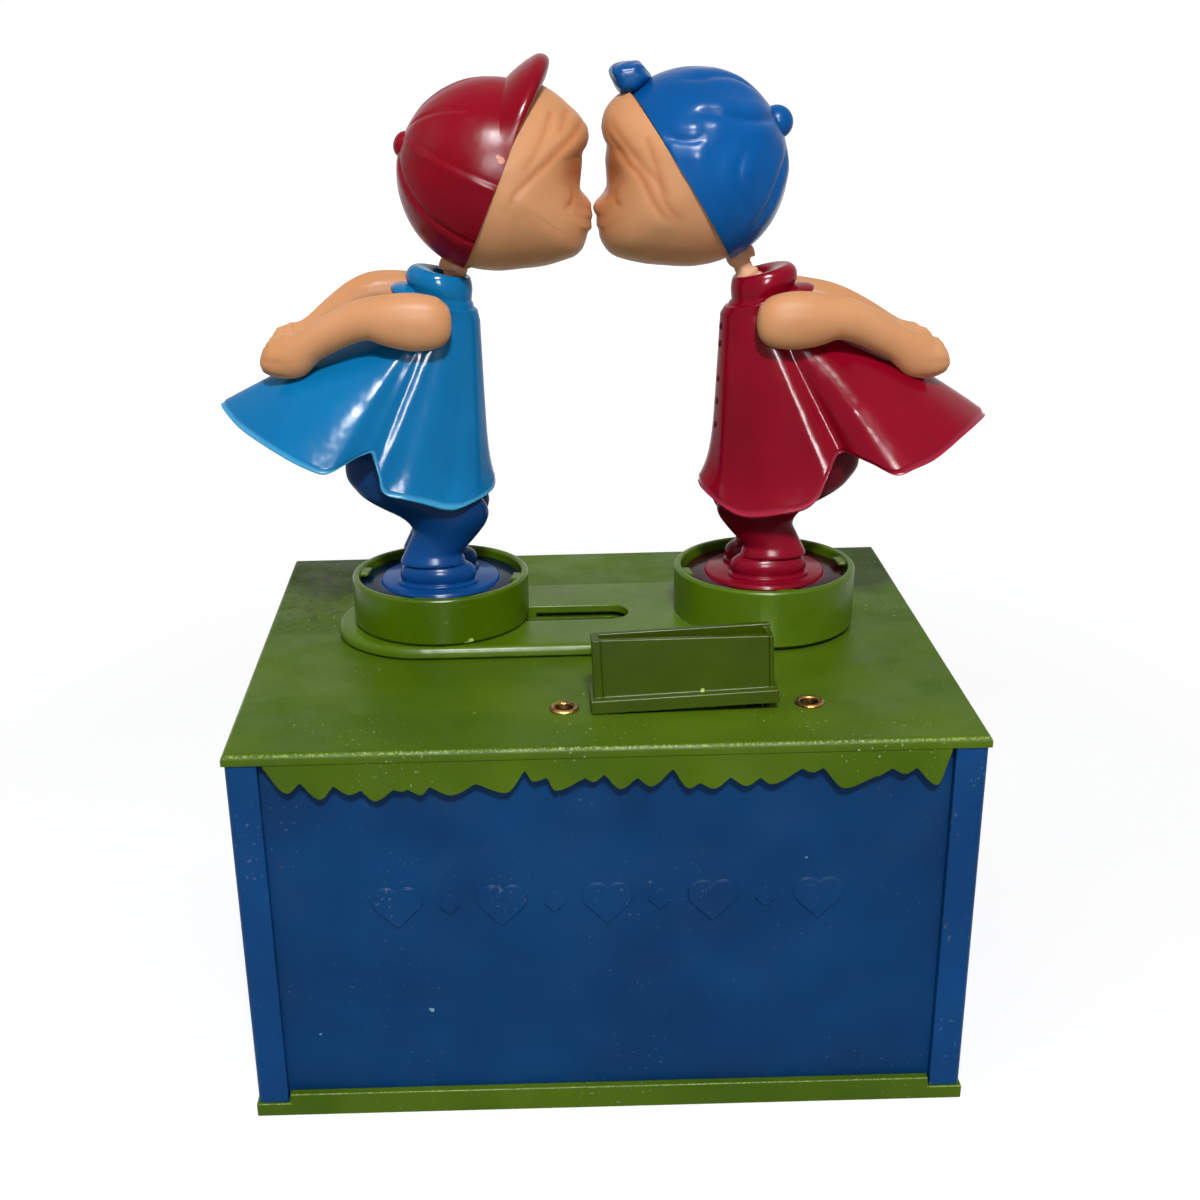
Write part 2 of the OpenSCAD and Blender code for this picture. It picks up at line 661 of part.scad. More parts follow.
module motor_pinion() {
  color(brass) difference() {
    translate([motor_x, motor_y, 0])
      gear(first_m, pinion_teeth, 0.9, first_z - 0.4, first_z + face_w + 0.4, 180 + 180 / pinion_teeth);
    rod_z(motor_x, motor_y, shaft_r, first_z - 1, first_z + 4);
  }
}
module compound_gear() {
  color("white") difference() {
    translate([compound_x, compound_y, 0]) {
      gear(first_m, wheel_teeth, 0.85, first_z, first_z + face_w, 0);
      gear(second_m, pinion_teeth, 0.9, first_z + face_w, second_z + face_w + 0.6,
           compound_a + 180 + 180 / pinion_teeth);
      rod_z(0, 0, 2.2, gear_z0, first_z + 0.1);
      rod_z(0, 0, 2, second_z + face_w + 0.5, lid_z - 0.4);
    }
    rod_z(compound_x, compound_y, arbor_r + hub_gap, gear_z0 - 1, lid_z);
  }
}
module output_gear() {
  color("white") difference() {
    translate([output_x, output_y, 0]) {
      gear(second_m, wheel_teeth, 0.85, second_z, second_z + face_w, compound_a);
      // Seven teeth of sixteen: they reach the rack one after another as the gear turns
      gear(drive_m, drive_teeth, 0.9, bar_z, bar_z + bar_t - 0.2, -90 - 5 * 360 / drive_teeth, 7);
      rod_z(0, 0, 3.6, gear_z0, bar_z + 0.1);
      rod_z(0, 0, 3.6, bar_z + bar_t - 0.3, lid_z - 0.4);
    }
    rod_z(output_x, output_y, arbor_r + hub_gap, gear_z0 - 1, lid_z);
  }
}
module return_spring() {
  turns = 6;
  x0 = spring_post_x + 1.2;
  length = bar_left - x0;
  z = bar_z + bar_t / 2;
  coil = [for (i = [0:turns * 12])
    [x0 + 0.5 + (length - 1) * i / (turns * 12), row_y + 1.4 * cos(30 * i), z + 1.4 * sin(30 * i)]];
  color(steel) tube(concat([[x0, row_y + 1.4, z]], coil, [[bar_left, row_y + 1.4, z]]), 0.22, 6);
}

// Coin chute and its switch

module chute_flat() {
  z0 = box_h + seat_gap;
  top = box_h + chute_h;
  x1 = chute_x1 - 0.7;
  x0 = chute_x0 + 0.7;
  coin_y1 = coin_y0 + coin_w;
  difference() {
    union() {
      box(chute_x0, chute_x1, chute_y0, chute_y1, z0, z0 + flange_t);
      // The front wall falls away a little towards the right
      translate([0, coin_y0, 0]) rotate([90, 0, 0]) linear_extrude(chute_wall)
        polygon([[x0, z0], [x1, z0], [x1, top - 1.3], [x0, top]]);
      box(x0, x1, coin_y1, coin_y1 + chute_wall, z0, top - 0.5);
      box(x0, coin_x0, coin_y0 - 0.1, coin_y1 + 0.1, z0, top - 0.5);
      box(coin_x0 + coin_l, x1, coin_y0 - 0.1, coin_y1 + 0.1, z0, top - 1.3);
      for (y = [leg_front_y, leg_back_y]) {
        box(pin_x - 2, pin_x + 2, y, y + leg_t, pin_z, z0 + 0.1);
        rod_y(pin_x, pin_z, 2, y, y + leg_t);
      }
      box(nib_x, nib_x + 3, leg_back_y, leg_back_y + leg_t, nib_z, z0 + 0.1);
    }
    box(coin_x0, coin_x0 + coin_l, coin_y0, coin_y1, z0 - 1, top + 1);
    rod_y(pin_x, pin_z, chute_pin_r + 0.06, chute_y0, chute_y1);
    // Shallow hollow in the front face, between two narrow borders
    box(x0 + 1.7, x1 - 0.9, coin_y0 - chute_wall - 1, coin_y0 - chute_wall + 0.2, z0 + flange_t, top + 1);
  }
}
module coin_chute() {
  color("#5a7510") translate([pin_x, 0, pin_z]) rotate([0, -chute_tilt, 0])
    translate([-pin_x, 0, -pin_z]) chute_flat();
}
module chute_bracket() {
  color(steel) difference() {
    union() {
      box(-11, 43.2, -44, -30.6, bracket_z, lid_z);
      for (y = [-42.4, -32.6]) {
        box(pin_x - cheek_r, pin_x + cheek_r, y, y + 0.9, pin_z, bracket_z + 0.1);
        rod_y(pin_x, pin_z, cheek_r, y, y + 0.9);
      }
    }
    chute_openings(0.3);
    for (x = eyelet_xs) rod_z(x, eyelet_y, eyelet_r, bracket_z - 1, lid_z + 1);
    rod_y(pin_x, pin_z, chute_pin_r, -45, -30);
  }
}
module chute_pin() {
  color(steel) rod_y(pin_x, pin_z, chute_pin_r, -43.2, -31);
}
module eyelets() {
  hole = 1.75;
  flare = 2.85;
  color(brass) for (x = eyelet_xs) translate([x, eyelet_y, 0]) rotate_extrude() polygon([
    [hole, bracket_z - 0.5], [flare - 0.3, bracket_z - 0.5], [flare - 0.3, bracket_z],
    [eyelet_r, bracket_z], [eyelet_r, box_h], [flare, box_h], [flare, box_h + 0.3],
    [flare - 0.35, box_h + 0.6], [hole + 0.35, box_h + 0.6], [hole, box_h + 0.3]
  ]);
}
block_x = [35, 42.6];
blade_levels = [74.3, 72.7];
module blade(z, x0) {
  box(x0, 43.4, -34.9, -32.9, z, z + 0.3);
}
module contact_block() {
  color("#5a3a22") difference() {
    box(block_x[0], block_x[1], -35.45, -31.6, 71.4, bracket_z);
    for (z = blade_levels) blade(z, 20);
  }
}
module contact_blades() {
  color(brass) {
    blade(blade_levels[0], 26.5);
    blade(blade_levels[1], 28);
    rod_z(29.5, -33.9, 0.7, blade_levels[1] + 0.3, blade_levels[1] + 0.8);
  }
}

// Battery, wires and doors

module battery_holder() {
  color(dark) difference() {
    box(-31, 31, 27.2, 44.8, base_t, 20.4);
    box(-29, 29, hatch_y0 - 0.2, hatch_y1 + 0.2, base_t - 1, 18.6);
  }
}
module battery_cell() {
  color("#c8b060") {
    rod_x(cell_y, cell_z, cell_r, -23.5, 25);
    rod_x(cell_y, cell_z, 2.6, 24.9, 26.2);
  }
}
module battery_contacts() {
  turns = 4;
  coil = [for (i = [0:turns * 12])
    let(r = lerp(2.4, 4.6, i / (turns * 12)))
    [-23.8 - 4.2 * i / (turns * 12), cell_y + r * cos(30 * i), cell_z + r * sin(30 * i)]];
  color(steel) {
    tube(coil, 0.3, 6);
    box(-29, -28.4, cell_y - 6, cell_y + 6, 4.5, 17);
    box(26.2, 26.8, cell_y - 6, cell_y + 6, 4.5, 17);
    box(26.2, 29, cell_y - 6, cell_y + 6, 4.5, 5.1);
  }
}
wire_r = 0.6;
wire_routes = [
  [[38, -33.6, 71.4], [38, -33.6, 70], [37.5, -30, 66], [35, -20, 62], [31, -6, 58],
   [26, 8, 50], [20, 18, 40], [14, 23.5, 34.8], [11, 25.4, 35.2], [10.8, 25.5, 36.6], [10.8, 25.5, 38]],
  [[41, -34.8, 71.4], [41, -34.8, 70], [43, -30, 64], [44, -16, 54], [44, 0, 42],
   [42.5, 18, 30], [38, 31, 22], [34.5, 35.6, 17.8], [32.6, 36, 16.5], [31, 36, 16.5]],
  [[-31, 36, 16.5], [-32.6, 36, 16.5], [-34, 35.6, 18.5], [-32, 35, 23], [-26, 32, 27],
   [-12, 28.5, 30], [-1, 26, 33], [2.2, 25.6, 35.2], [2.4, 25.5, 36.6], [2.4, 25.5, 38]]
];
module hookup_wires() {
  color("#8a1a1a") for (route = wire_routes) tube(route, wire_r, 8);
}
module battery_door() {
  color(leaf_green) difference() {
    union() {
      box(0.2 - channel_w / 2, channel_w / 2 - 0.2, channel_y0 + 0.2, edge_y - 0.3, 0.9, 2.1);
      box(0.2 - channel_lip_w / 2, channel_lip_w / 2 - 0.2, channel_y0 + 0.2, edge_y - 0.3, 0.1, 1);
    }
    for (i = [0:4]) box(-9, 9, 45.5 + 1.7 * i, 46.4 + 1.7 * i, -1, 0.6);
  }
}
module coin_door() {
  w = door_w / 2;
  color(box_blue) {
    box(-w, w, panel_y - panel_t + 0.1, panel_y, door_pin_z, door_top);
    rod_x(door_pin_y, door_pin_z, barrel_r, -w, w);
    rod_x(door_pin_y, door_pin_z, door_pin_r, -22.4, 0.1 - w);
    rod_x(door_pin_y, door_pin_z, door_pin_r, w - 0.1, 22.4);
    box(-6, 6, panel_y - 0.1, panel_y + 1.1, 34.4, 35.9);
  }
}

// Figures

function head_base(f, d) =
  let(tall = d.z > 0 ? head_tops[f] : head_bottom)
  1 / sqrt(pow(d.x / head_r, 2) + pow(d.y / head_side, 2) + pow(d.z / tall, 2));
function face_radius(f, d) =
  let(e = atan2(d.z, d.x), s = asin(d.y))
  head_base(f, d) + [for (f = face_features) f[2] * bell(e - f[0], f[3]) * bell(abs(s) - f[1], f[4])]
    * [for (f = face_features) 1];
// Direction at an angle from the cap's axis and an angle round it, counted from the top
function cap_direction(axis, polar, turn) =
  let(n = [cos(axis), 0, sin(axis)], up = [-sin(axis), 0, cos(axis)])
  cos(polar) * n + sin(polar) * (cos(turn) * up + sin(turn) * [0, 1, 0]);
ring_angles = [for (j = [0:around - 1]) 360 * j / around];

module head_skin(f) {
  axis = cap_axis[f];
  edge = cap_edge[f];
  centre = [head_x[f], 0, head_z[f]];
  face = [for (p = [3, 8, 14, 20, 27, 34, 42, 50, 58, 66, 74, edge])
    [for (a = ring_angles) let(d = cap_direction(axis, p, a)) centre + face_radius(f, d) * d]];
  skull = [for (p = [edge, 100, 116, 132, 148, 164, 174])
    [for (a = ring_angles) let(d = cap_direction(axis, p, a)) centre + (head_base(f, d) - 0.9) * d]];
  front = cap_direction(axis, 0, 0);
  back = cap_direction(axis, 180, 0);
  skin(concat(face, skull), centre + face_radius(f, front) * front,
       centre + (head_base(f, back) - 0.9) * back);
}

// Share of the brim's full height at an angle round the cap; only the left cap has a brim
brim_h = 5.6;
function brim_share(f, turn) =
  let(a = 180 - abs(180 - abs(turn)))
  f == 1 || a > 80 ? 0 : pow(cos(a * 90 / 80), 0.9);
module cap_shell(f) {
  axis = cap_axis[f];
  edge = cap_edge[f];
  centre = [head_x[f], 0, head_z[f]];
  outer = [for (p = [176, 162, 148, 134, 120])
    [for (a = -ring_angles) let(d = cap_direction(axis, p, a)) centre + (head_base(f, d) + 0.6) * d]];
  // Angle behind the edge, forward lean and height of the brim, and rise above the skull
  steps = [[20, 0, 0, 0.6], [13, 0, 0.36, 0.6], [5, 0, 1, 0.6], [1.2, 4, 0.86, 0.6], [1.2, 0, 0.3, 0.1]];
  rim = [for (r = steps) [for (a = -ring_angles)
    let(k = brim_share(f, a), d = cap_direction(axis, edge + r[0] - k * r[1], a))
    centre + (head_base(f, d) + r[3] + brim_h * k * r[2]) * d]];
  inner = [for (p = [edge + 1.2, 106, 128, 150, 172])
    [for (a = -ring_angles) let(d = cap_direction(axis, p, a)) centre + (head_base(f, d) - 0.7) * d]];
  back = cap_direction(axis, 180, 0);
  skin(concat(outer, rim, inner), centre + (head_base(f, back) + 0.6) * back,
       centre + (head_base(f, back) - 0.7) * back);
}

function dress_top(i, a) =
  let(r = collar_rings[i], x = r[2] * cos(a))
  [r[0] + x * cos(r[4]), r[3] * sin(a), r[1] - x * sin(r[4])];
function hem_point(f, j, n) =
  let(h = hems[f], m = len(h),
      ring = concat([for (p = h) p], [for (i = [m - 2:-1:1]) [h[i].x, -h[i].y, h[i].z]]))
  round_curve(ring, j * len(ring) / n);
dress_n = 44;
// The skirt hangs straight at its back and sides; its front flares out only near the hem
function dress_outer(f) =
  let(last = len(collar_rings) - 1)
  concat([for (i = [0:last]) [for (j = [0:dress_n - 1]) dress_top(i, 360 * j / dress_n)]],
         [for (t = skirt_steps) [for (j = [0:dress_n - 1])
           let(a = 360 * j / dress_n, p = dress_top(last, a), h = hem_point(f, j, dress_n),
               out = lerp(t, 0.35 * t + 0.65 * pow(t, 8), max(0, cos(a))))
           [lerp(p.x, h.x, out), lerp(p.y, h.y, out), lerp(p.z, h.z, t)]]]);
// Inner face: each point moved in along the surface's own normal
function dress_inner(f, outer) =
  [for (i = [len(outer) - 1:-1:2]) [for (j = [0:dress_n - 1])
    let(along = outer[min(i + 1, len(outer) - 1)][j] - outer[max(i - 1, 5)][j],
        across = outer[i][(j + 1) % dress_n] - outer[i][(j + dress_n - 1) % dress_n],
        c = [outer[i][0].x / 2 + outer[i][dress_n / 2].x / 2, 0, outer[i][j].z],
        flat = unit([c.x - outer[i][j].x, -outer[i][j].y, 0]),
        n = i < 7 ? flat : unit(cross(across, along)))
    outer[i][j] + (i < 7 ? collar_t : dress_t) * n]];
module dress(f) {
  outer = dress_outer(f);
  difference() {
    skin_loop(concat(outer, dress_inner(f, outer)));
    rod_y(peg_x, peg_z, peg_r + hub_gap, -12, 12);
  }
}

module arm(f, side) {
  list = arm_stations[f];
  n = len(list);
  path = [for (s = list) [s.x, side * s.y, s.z + (side > 0 ? far_elbow[f] * bell(s.x + 12, 9) : 0)]];
  rings = [for (i = [0:n - 1])
    let(t = unit(path[min(i + 1, n - 1)] - path[max(i - 1, 0)]), up = unit([-t.z, 0, t.x]))
    [for (j = [0:15]) path[i] + list[i][3] * cos(22.5 * j) * [0, 1, 0]
      + list[i][4] * sin(22.5 * j) * up]];
  skin(rings, path[0] + [0.3, 0, 0], path[n - 1] - [0.3, 0, 0]);
  rod_y(peg_x, peg_z, peg_r, side < 0 ? -9 : peg_end, side < 0 ? -peg_end : 9);
}

module leg_pair() {
  for (side = [-1, 1]) {
    rings = [for (s = leg_stations)
      let(c = (s[1] + s[2]) / 2, h = (s[2] - s[1]) / 2)
      [for (j = [0:17]) [c + h * cos(20 * j), side * leg_y + s[3] * sin(20 * j), s[0]]]];
    first = leg_stations[0];
    last = leg_stations[len(leg_stations) - 1];
    skin(rings, [(first[1] + first[2]) / 2, side * leg_y, first[0]],
         [(last[1] + last[2]) / 2, side * leg_y, last[0] + 0.5]);
  }
  rod_z(0, 0, foot_flange_r, ledge_z, ledge_z + 1.6);
  rod_z(0, 0, disc_r, ledge_z + 1.5, disc_top);
  translate([-6, 0, 118]) rotate([0, 17.5, 0]) cylinder(r = 3.4, h = 29.4);
}
function ball_centre(f) = [neck_ball[f][0], 0, neck_ball[f][1]];
function neck_lean(f) = atan2(neck_ball[f][0] - neck_foot[0], neck_ball[f][1] - neck_foot[1]);
module legs(f) {
  difference() {
    leg_pair();
    translate([neck_foot[0], 0, neck_foot[1]]) rotate([0, neck_lean(f), 0])
      translate([0, 0, -3]) cylinder(r = 1.65, h = 6);
    for (y = [-6, peg_end - 0.1]) rod_y(peg_x, peg_z, peg_r + hub_gap, y, y + 6.1 - peg_end);
  }
}

module neck(f) {
  length = norm(neck_ball[f] - neck_foot);
  translate([neck_foot[0], 0, neck_foot[1]]) rotate([0, neck_lean(f), 0]) {
    translate([0, 0, -2.8]) cylinder(r = 1.6, h = length + 2.8);
    translate([0, 0, length - 5.4]) cylinder(r = 2, h = 1.2);
  }
  translate(ball_centre(f)) sphere(ball_r);
}

module place(f) {
  translate([f == 0 ? left_x : right_x, row_y, 0]) mirror([f, 0, 0]) children();
}
module left_legs() { color(navy_blue) place(0) legs(0); }
module right_legs() { color("#8c0f26") place(1) legs(1); }
module left_dress() { color(light_blue) place(0) dress(0); }
module right_dress() { color(crimson) place(1) dress(1); }
module left_near_arm() { color(flesh) place(0) arm(0, -1); }
module left_far_arm() { color(flesh) place(0) arm(0, 1); }
module right_near_arm() { color(flesh) place(1) arm(1, -1); }
module right_far_arm() { color(flesh) place(1) arm(1, 1); }
module left_neck() { color(flesh) place(0) neck(0); }
module right_neck() { color(flesh) place(1) neck(1); }
// The lower half of each neck ball is free; a lug on the head holds its upper half
module head(f) {
  difference() {
    union() {
      head_skin(f);
      translate(ball_centre(f)) difference() {
        sphere(lug_r);
        box(-5, 5, -5, 5, -5, 0);
      }
    }
    translate(ball_centre(f)) sphere(ball_r + socket_gap);
    translate([head_x[f] - 0.5, 0, head_z[f]]) sphere(13.2);
  }
}
module left_head() { color(flesh) place(0) head(0); }
module right_head() { color(flesh) place(1) head(1); }
module cap_cut(f) {
  translate(ball_centre(f)) sphere(lug_r + 0.15);
  translate([head_x[f], 0, head_z[f]]) scale([head_r - 0.8, head_side - 0.8, head_tops[f] - 0.8]) sphere(1);
}
module left_cap() {
  color(crimson) place(0) difference() {
    union() {
      cap_shell(0);
      translate([head_x[0] - 17.5, 0, head_z[0] + 5.4]) sphere(1.8);
    }
    cap_cut(0);
  }
}
module right_cap() {
  c = [head_x[1], 0, head_z[1]];
  color(cap_blue) place(1) difference() {
    union() {
      cap_shell(1);
      translate(c + [-16.7, 0, 8.3]) sphere(2.9);
      hull() for (s = [-1, 1]) {
        translate(c + [9.6, s * 3.6, 16.6]) sphere(1.8, $fn = 24);
        translate(c + [13.6, s * 3.6, 17.2]) sphere(2.2, $fn = 24);
      }
    }
    cap_cut(1);
  }
}

base_tray();
left_wall();
right_wall();
front_panel();
back_panel();
lid();
case_screws();
track_plate();
track_screws();
eyelets();
chute_bracket();
chute_pin();
contact_block();
contact_blades();
gear_plate();
plate_screws();
gear_arbors();
motor_can();
motor_shaft();
motor_pinion();
compound_gear();
output_gear();
return_spring();
battery_holder();
battery_cell();
battery_contacts();
hookup_wires();
battery_door();
coin_door();
coin_chute();
left_cup();
slider_bar();
carriage_screw();
left_legs();
left_dress();
left_near_arm();
left_far_arm();
left_neck();
left_head();
left_cap();
right_legs();
right_dress();
right_near_arm();
right_far_arm();
right_neck();
right_head();
right_cap();
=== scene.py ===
import math

import bmesh
import bpy
import numpy as np
from mathutils import Matrix, Vector


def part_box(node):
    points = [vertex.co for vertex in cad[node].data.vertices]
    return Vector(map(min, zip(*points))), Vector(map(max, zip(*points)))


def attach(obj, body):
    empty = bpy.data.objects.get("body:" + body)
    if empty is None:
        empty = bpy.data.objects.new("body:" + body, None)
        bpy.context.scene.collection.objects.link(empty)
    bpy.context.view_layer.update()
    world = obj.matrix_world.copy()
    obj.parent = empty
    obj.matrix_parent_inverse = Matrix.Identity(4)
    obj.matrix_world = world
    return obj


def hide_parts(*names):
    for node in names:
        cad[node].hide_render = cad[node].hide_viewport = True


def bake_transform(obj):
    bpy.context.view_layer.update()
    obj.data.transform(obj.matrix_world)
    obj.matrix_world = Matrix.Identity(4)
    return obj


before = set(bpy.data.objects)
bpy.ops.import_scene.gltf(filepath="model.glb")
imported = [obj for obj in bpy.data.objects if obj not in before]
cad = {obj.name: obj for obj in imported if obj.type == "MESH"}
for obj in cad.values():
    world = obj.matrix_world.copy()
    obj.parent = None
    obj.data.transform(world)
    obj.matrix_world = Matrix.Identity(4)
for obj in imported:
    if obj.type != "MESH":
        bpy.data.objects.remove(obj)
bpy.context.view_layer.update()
MM = 0.001

# Camera. A phone held a third of a metre in front of the bank, a little above the dolls' heads
# and dipped towards the lid. The bank doesn't sit in the middle of its picture, hence the shift.
picture_px = 1200
focal_px = 1651.3
middle_px = (545.9, 681.4)
eye = Vector((-0.01266, -0.32559, 0.20581))
turned_by = 0.00694
dipped_by = 0.39794
rolled_by = -0.02254

ahead = Vector((math.sin(turned_by) * math.cos(dipped_by), math.cos(turned_by) * math.cos(dipped_by),
                -math.sin(dipped_by)))
across = Vector((math.cos(turned_by), -math.sin(turned_by), 0))
above = across.cross(ahead)
tilted_across = across * math.cos(rolled_by) + above * math.sin(rolled_by)
tilted_above = above * math.cos(rolled_by) - across * math.sin(rolled_by)
lens = bpy.data.cameras.new("camera")
lens.sensor_width = 36
lens.lens = focal_px / picture_px * lens.sensor_width
lens.shift_x = (picture_px / 2 - middle_px[0]) / picture_px
lens.shift_y = (middle_px[1] - picture_px / 2) / picture_px
lens.clip_start = 0.01
camera = bpy.data.objects.new("camera", lens)
camera.matrix_world = (Matrix.Translation(eye)
                       @ Matrix((tilted_across, tilted_above, -ahead)).transposed().to_4x4())
bpy.context.scene.collection.objects.link(camera)
bpy.context.scene.camera = camera

# Table and light. A plain table top that looks white to the camera and keeps the bank's shadow, a
# soft lamp above and behind the camera, a weak one at the left, and an even grey room around them.
table_half = 6.0
table_tone = (0.42, 0.42, 0.42, 1)
white = (1, 1, 1, 1)
glow_near = 0.62
glow_far = 0.95
glow_reach = (0.2, 0.7)
room_tone = (0.92, 0.95, 1.0, 1)
room_strength = 0.36
# Lamps: place, width and height in metres, and power in watts
lamps = {
    "window": ((0.03, -0.74, 0.86), (0.13, 0.1), 10.0),
    "window_glint": ((0.02, -0.72, 0.92), (0.22, 0.14), 40.0),
    "low_glint": ((0.02, -0.9, 0.42), (0.16, 0.3), 22.0),
    "doorway": ((-0.9, -0.1, 0.7), (0.5, 0.5), 1.2),
}
aim = Vector((0, 0, 0.1))

table_mesh = bpy.data.meshes.new("table")
table_corners = [(x * table_half, y * table_half, 0) for x, y in ((-1, -1), (1, -1), (1, 1), (-1, 1))]
table_mesh.from_pydata(table_corners, [], [(0, 1, 2, 3)])
table = bpy.data.objects.new("table", table_mesh)
bpy.context.scene.collection.objects.link(table)


def new_finish(name):
    """A material with its node tree and its main shader."""
    finish = bpy.data.materials.new(name)
    finish.use_nodes = True
    return finish, finish.node_tree, finish.node_tree.nodes["Principled BSDF"]


def add(tree, kind, feeds=None, **settings):
    """Adds a shader node. A feed is a socket's value, or the output that it is linked to."""
    made = tree.nodes.new("ShaderNode" + kind)
    for key, value in settings.items():
        setattr(made, key, value)
    for key, value in (feeds or {}).items():
        if isinstance(value, bpy.types.NodeSocket):
            tree.links.new(value, made.inputs[key])
        else:
            made.inputs[key].default_value = value
    return made


def ramp(tree, value, low, high, bottom=0.0, top=1.0):
    """Runs from bottom to top as the value runs from low to high, and stays there beyond."""
    ends = {"From Min": low, "From Max": high, "To Min": bottom, "To Max": top}
    return add(tree, "MapRange", {"Value": value} | ends).outputs["Result"]


def cloud(tree, scale, low, high, detail=2.0):
    """Soft patches over a piece, 0 where the noise is under low and 1 above high; scale is per metre."""
    place = add(tree, "TexCoord").outputs["Object"]
    noise = add(tree, "TexNoise", {"Vector": place, "Scale": scale, "Detail": detail})
    return ramp(tree, noise.outputs["Fac"], low, high)


def mixed(tree, share, first, second):
    """Colour that goes from first to second as share goes from 0 to 1."""
    return add(tree, "Mix", {0: share, 6: first, 7: second}, data_type="RGBA").outputs[2]


def seen_directly(tree):
    """1 for rays that show the surroundings, straight or in a reflection, and 0 for the light they give."""
    path = add(tree, "LightPath").outputs
    share = path["Is Camera Ray"]
    for kind in ("Is Glossy Ray", "Is Transmission Ray"):
        share = add(tree, "Math", {0: share, 1: path[kind]}, operation="MAXIMUM").outputs[0]
    return share


def product(tree, *shares):
    """Shares multiplied together."""
    total = shares[0]
    for share in shares[1:]:
        total = add(tree, "Math", {0: total, 1: share}, operation="MULTIPLY").outputs[0]
    return total


table_finish, tree, shader = new_finish("white_table")
shader.inputs["Base Color"].default_value = table_tone
shader.inputs["Roughness"].default_value = 0.9
shader.inputs["Specular IOR Level"].default_value = 0.0
spot = add(tree, "VectorMath", {0: add(tree, "TexCoord").outputs["Object"]}, operation="LENGTH")
glow = ramp(tree, spot.outputs["Value"], *glow_reach, glow_near, glow_far)
glow = add(tree, "Emission", {"Color": white, "Strength": product(tree, glow, seen_directly(tree))})
both = add(tree, "AddShader", {0: shader.outputs[0], 1: glow.outputs[0]})
tree.links.new(both.outputs[0], tree.nodes["Material Output"].inputs["Surface"])
table_mesh.materials.append(table_finish)

for name, (place, size, power) in lamps.items():
    lamp_data = bpy.data.lights.new(name, "AREA")
    lamp_data.shape = "RECTANGLE"
    lamp_data.size, lamp_data.size_y = size
    lamp_data.energy = power
    lamp = bpy.data.objects.new(name, lamp_data)
    lamp.location = place
    lamp.rotation_euler = (aim - Vector(place)).to_track_quat("-Z", "Y").to_euler()
    # The glints only show in reflections, as bright panes do
    lamp.visible_diffuse = not name.endswith("glint")
    bpy.context.scene.collection.objects.link(lamp)

room = bpy.data.worlds.new("room")
bpy.context.scene.world = room
room.use_nodes = True
tree = room.node_tree
room_light = tree.nodes["Background"]
room_light.inputs["Color"].default_value = room_tone
room_light.inputs["Strength"].default_value = room_strength
backdrop = add(tree, "Background", {"Color": white, "Strength": 1.0})
choice = add(tree, "MixShader", {0: seen_directly(tree), 1: room_light.outputs[0], 2: backdrop.outputs[0]})
tree.links.new(choice.outputs[0], tree.nodes["World Output"].inputs["Surface"])
bpy.context.scene.view_settings.view_transform = "Standard"

# Base tray. A flat olive-green moulding under the box, with a thin lip between the corner posts
# that keeps the panels in; the four long case screws come up through its corners.
leaf_green = "#4d6709"
deep_green = "#405a05"
# Edge colour: rubbed wear and a painted highlight along the upper edges
rubbed_and_highlit_green = "#7b9536"
# Chips and scratches: grain of a chip's outline per metre, how ragged it is, where a scratch fades
# out and how near its middle it is whole, in metres
chip_grain = 900.0
chip_raggedness = 1.3
scratch_fades = 0.00016
scratch_whole = 0.00004
scratch_strength = 0.5
# Rubbed edges, with a painted highlight: how far up a surface faces where the paler edge colour
# starts and is whole, and where it grows less and ends again
rub_and_highlight_from = (0.3, 0.55)
rub_and_highlight_to = (0.97, 0.85)
grime_tones = ("#2a2c14", "#4b5030")
dust_tone = "#b9c29a"
# Rounding of a moulding's edges: points closer than this, in metres, are one; faces within this
# angle of each other are one face; edges sharper than this angle, in degrees, are rounded
weld = 5e-6
flat_within = 0.5
round_from = 35
round_steps = 3


def paint(code):
    """Linear colour of a colour code as it looks on a screen."""
    parts = [int(code[i:i + 2], 16) / 255 for i in (1, 3, 5)]
    return [p / 12.92 if p <= 0.04045 else ((p + 0.055) / 1.055) ** 2.4 for p in parts] + [1]


def spotted(tree, tone, spots, colour):
    """Small ragged chips of another colour: each spot is a place and a radius, in metres."""
    if not spots:
        return tone
    place = add(tree, "TexCoord").outputs["Object"]
    ragged = add(tree, "TexNoise", {"Vector": place, "Scale": chip_grain, "Detail": 3.0}).outputs["Fac"]
    for middle, radius in spots:
        reach = add(tree, "VectorMath", {0: place, 1: middle}, operation="DISTANCE").outputs["Value"]
        feeds = {0: ragged, 1: -radius * chip_raggedness, 2: reach}
        edge = add(tree, "Math", feeds, operation="MULTIPLY_ADD").outputs[0]
        tone = mixed(tree, ramp(tree, edge, radius * 0.45, radius * 0.3), tone, paint(colour))
    return tone


def scratched(tree, tone, scratches, colour):
    """Fine scratches: each is a pair of ends in metres. They break up along their length."""
    if not scratches:
        return tone
    place = add(tree, "TexCoord").outputs["Object"]
    broken = cloud(tree, 700, 0.45, 0.6)
    for start, end in scratches:
        run = Vector(end) - Vector(start)
        offset = add(tree, "VectorMath", {0: place, 1: start}, operation="SUBTRACT").outputs[0]
        along = add(tree, "VectorMath", {0: offset, 1: run / run.length_squared}, operation="DOT_PRODUCT")
        along = add(tree, "Clamp", {"Value": along.outputs["Value"]}).outputs[0]
        nearest = add(tree, "VectorMath", {0: run, "Scale": along}, operation="SCALE").outputs[0]
        reach = add(tree, "VectorMath", {0: offset, 1: nearest}, operation="DISTANCE").outputs["Value"]
        share = product(tree, ramp(tree, reach, scratch_fades, scratch_whole), broken, scratch_strength)
        tone = mixed(tree, share, tone, paint(colour))
    return tone


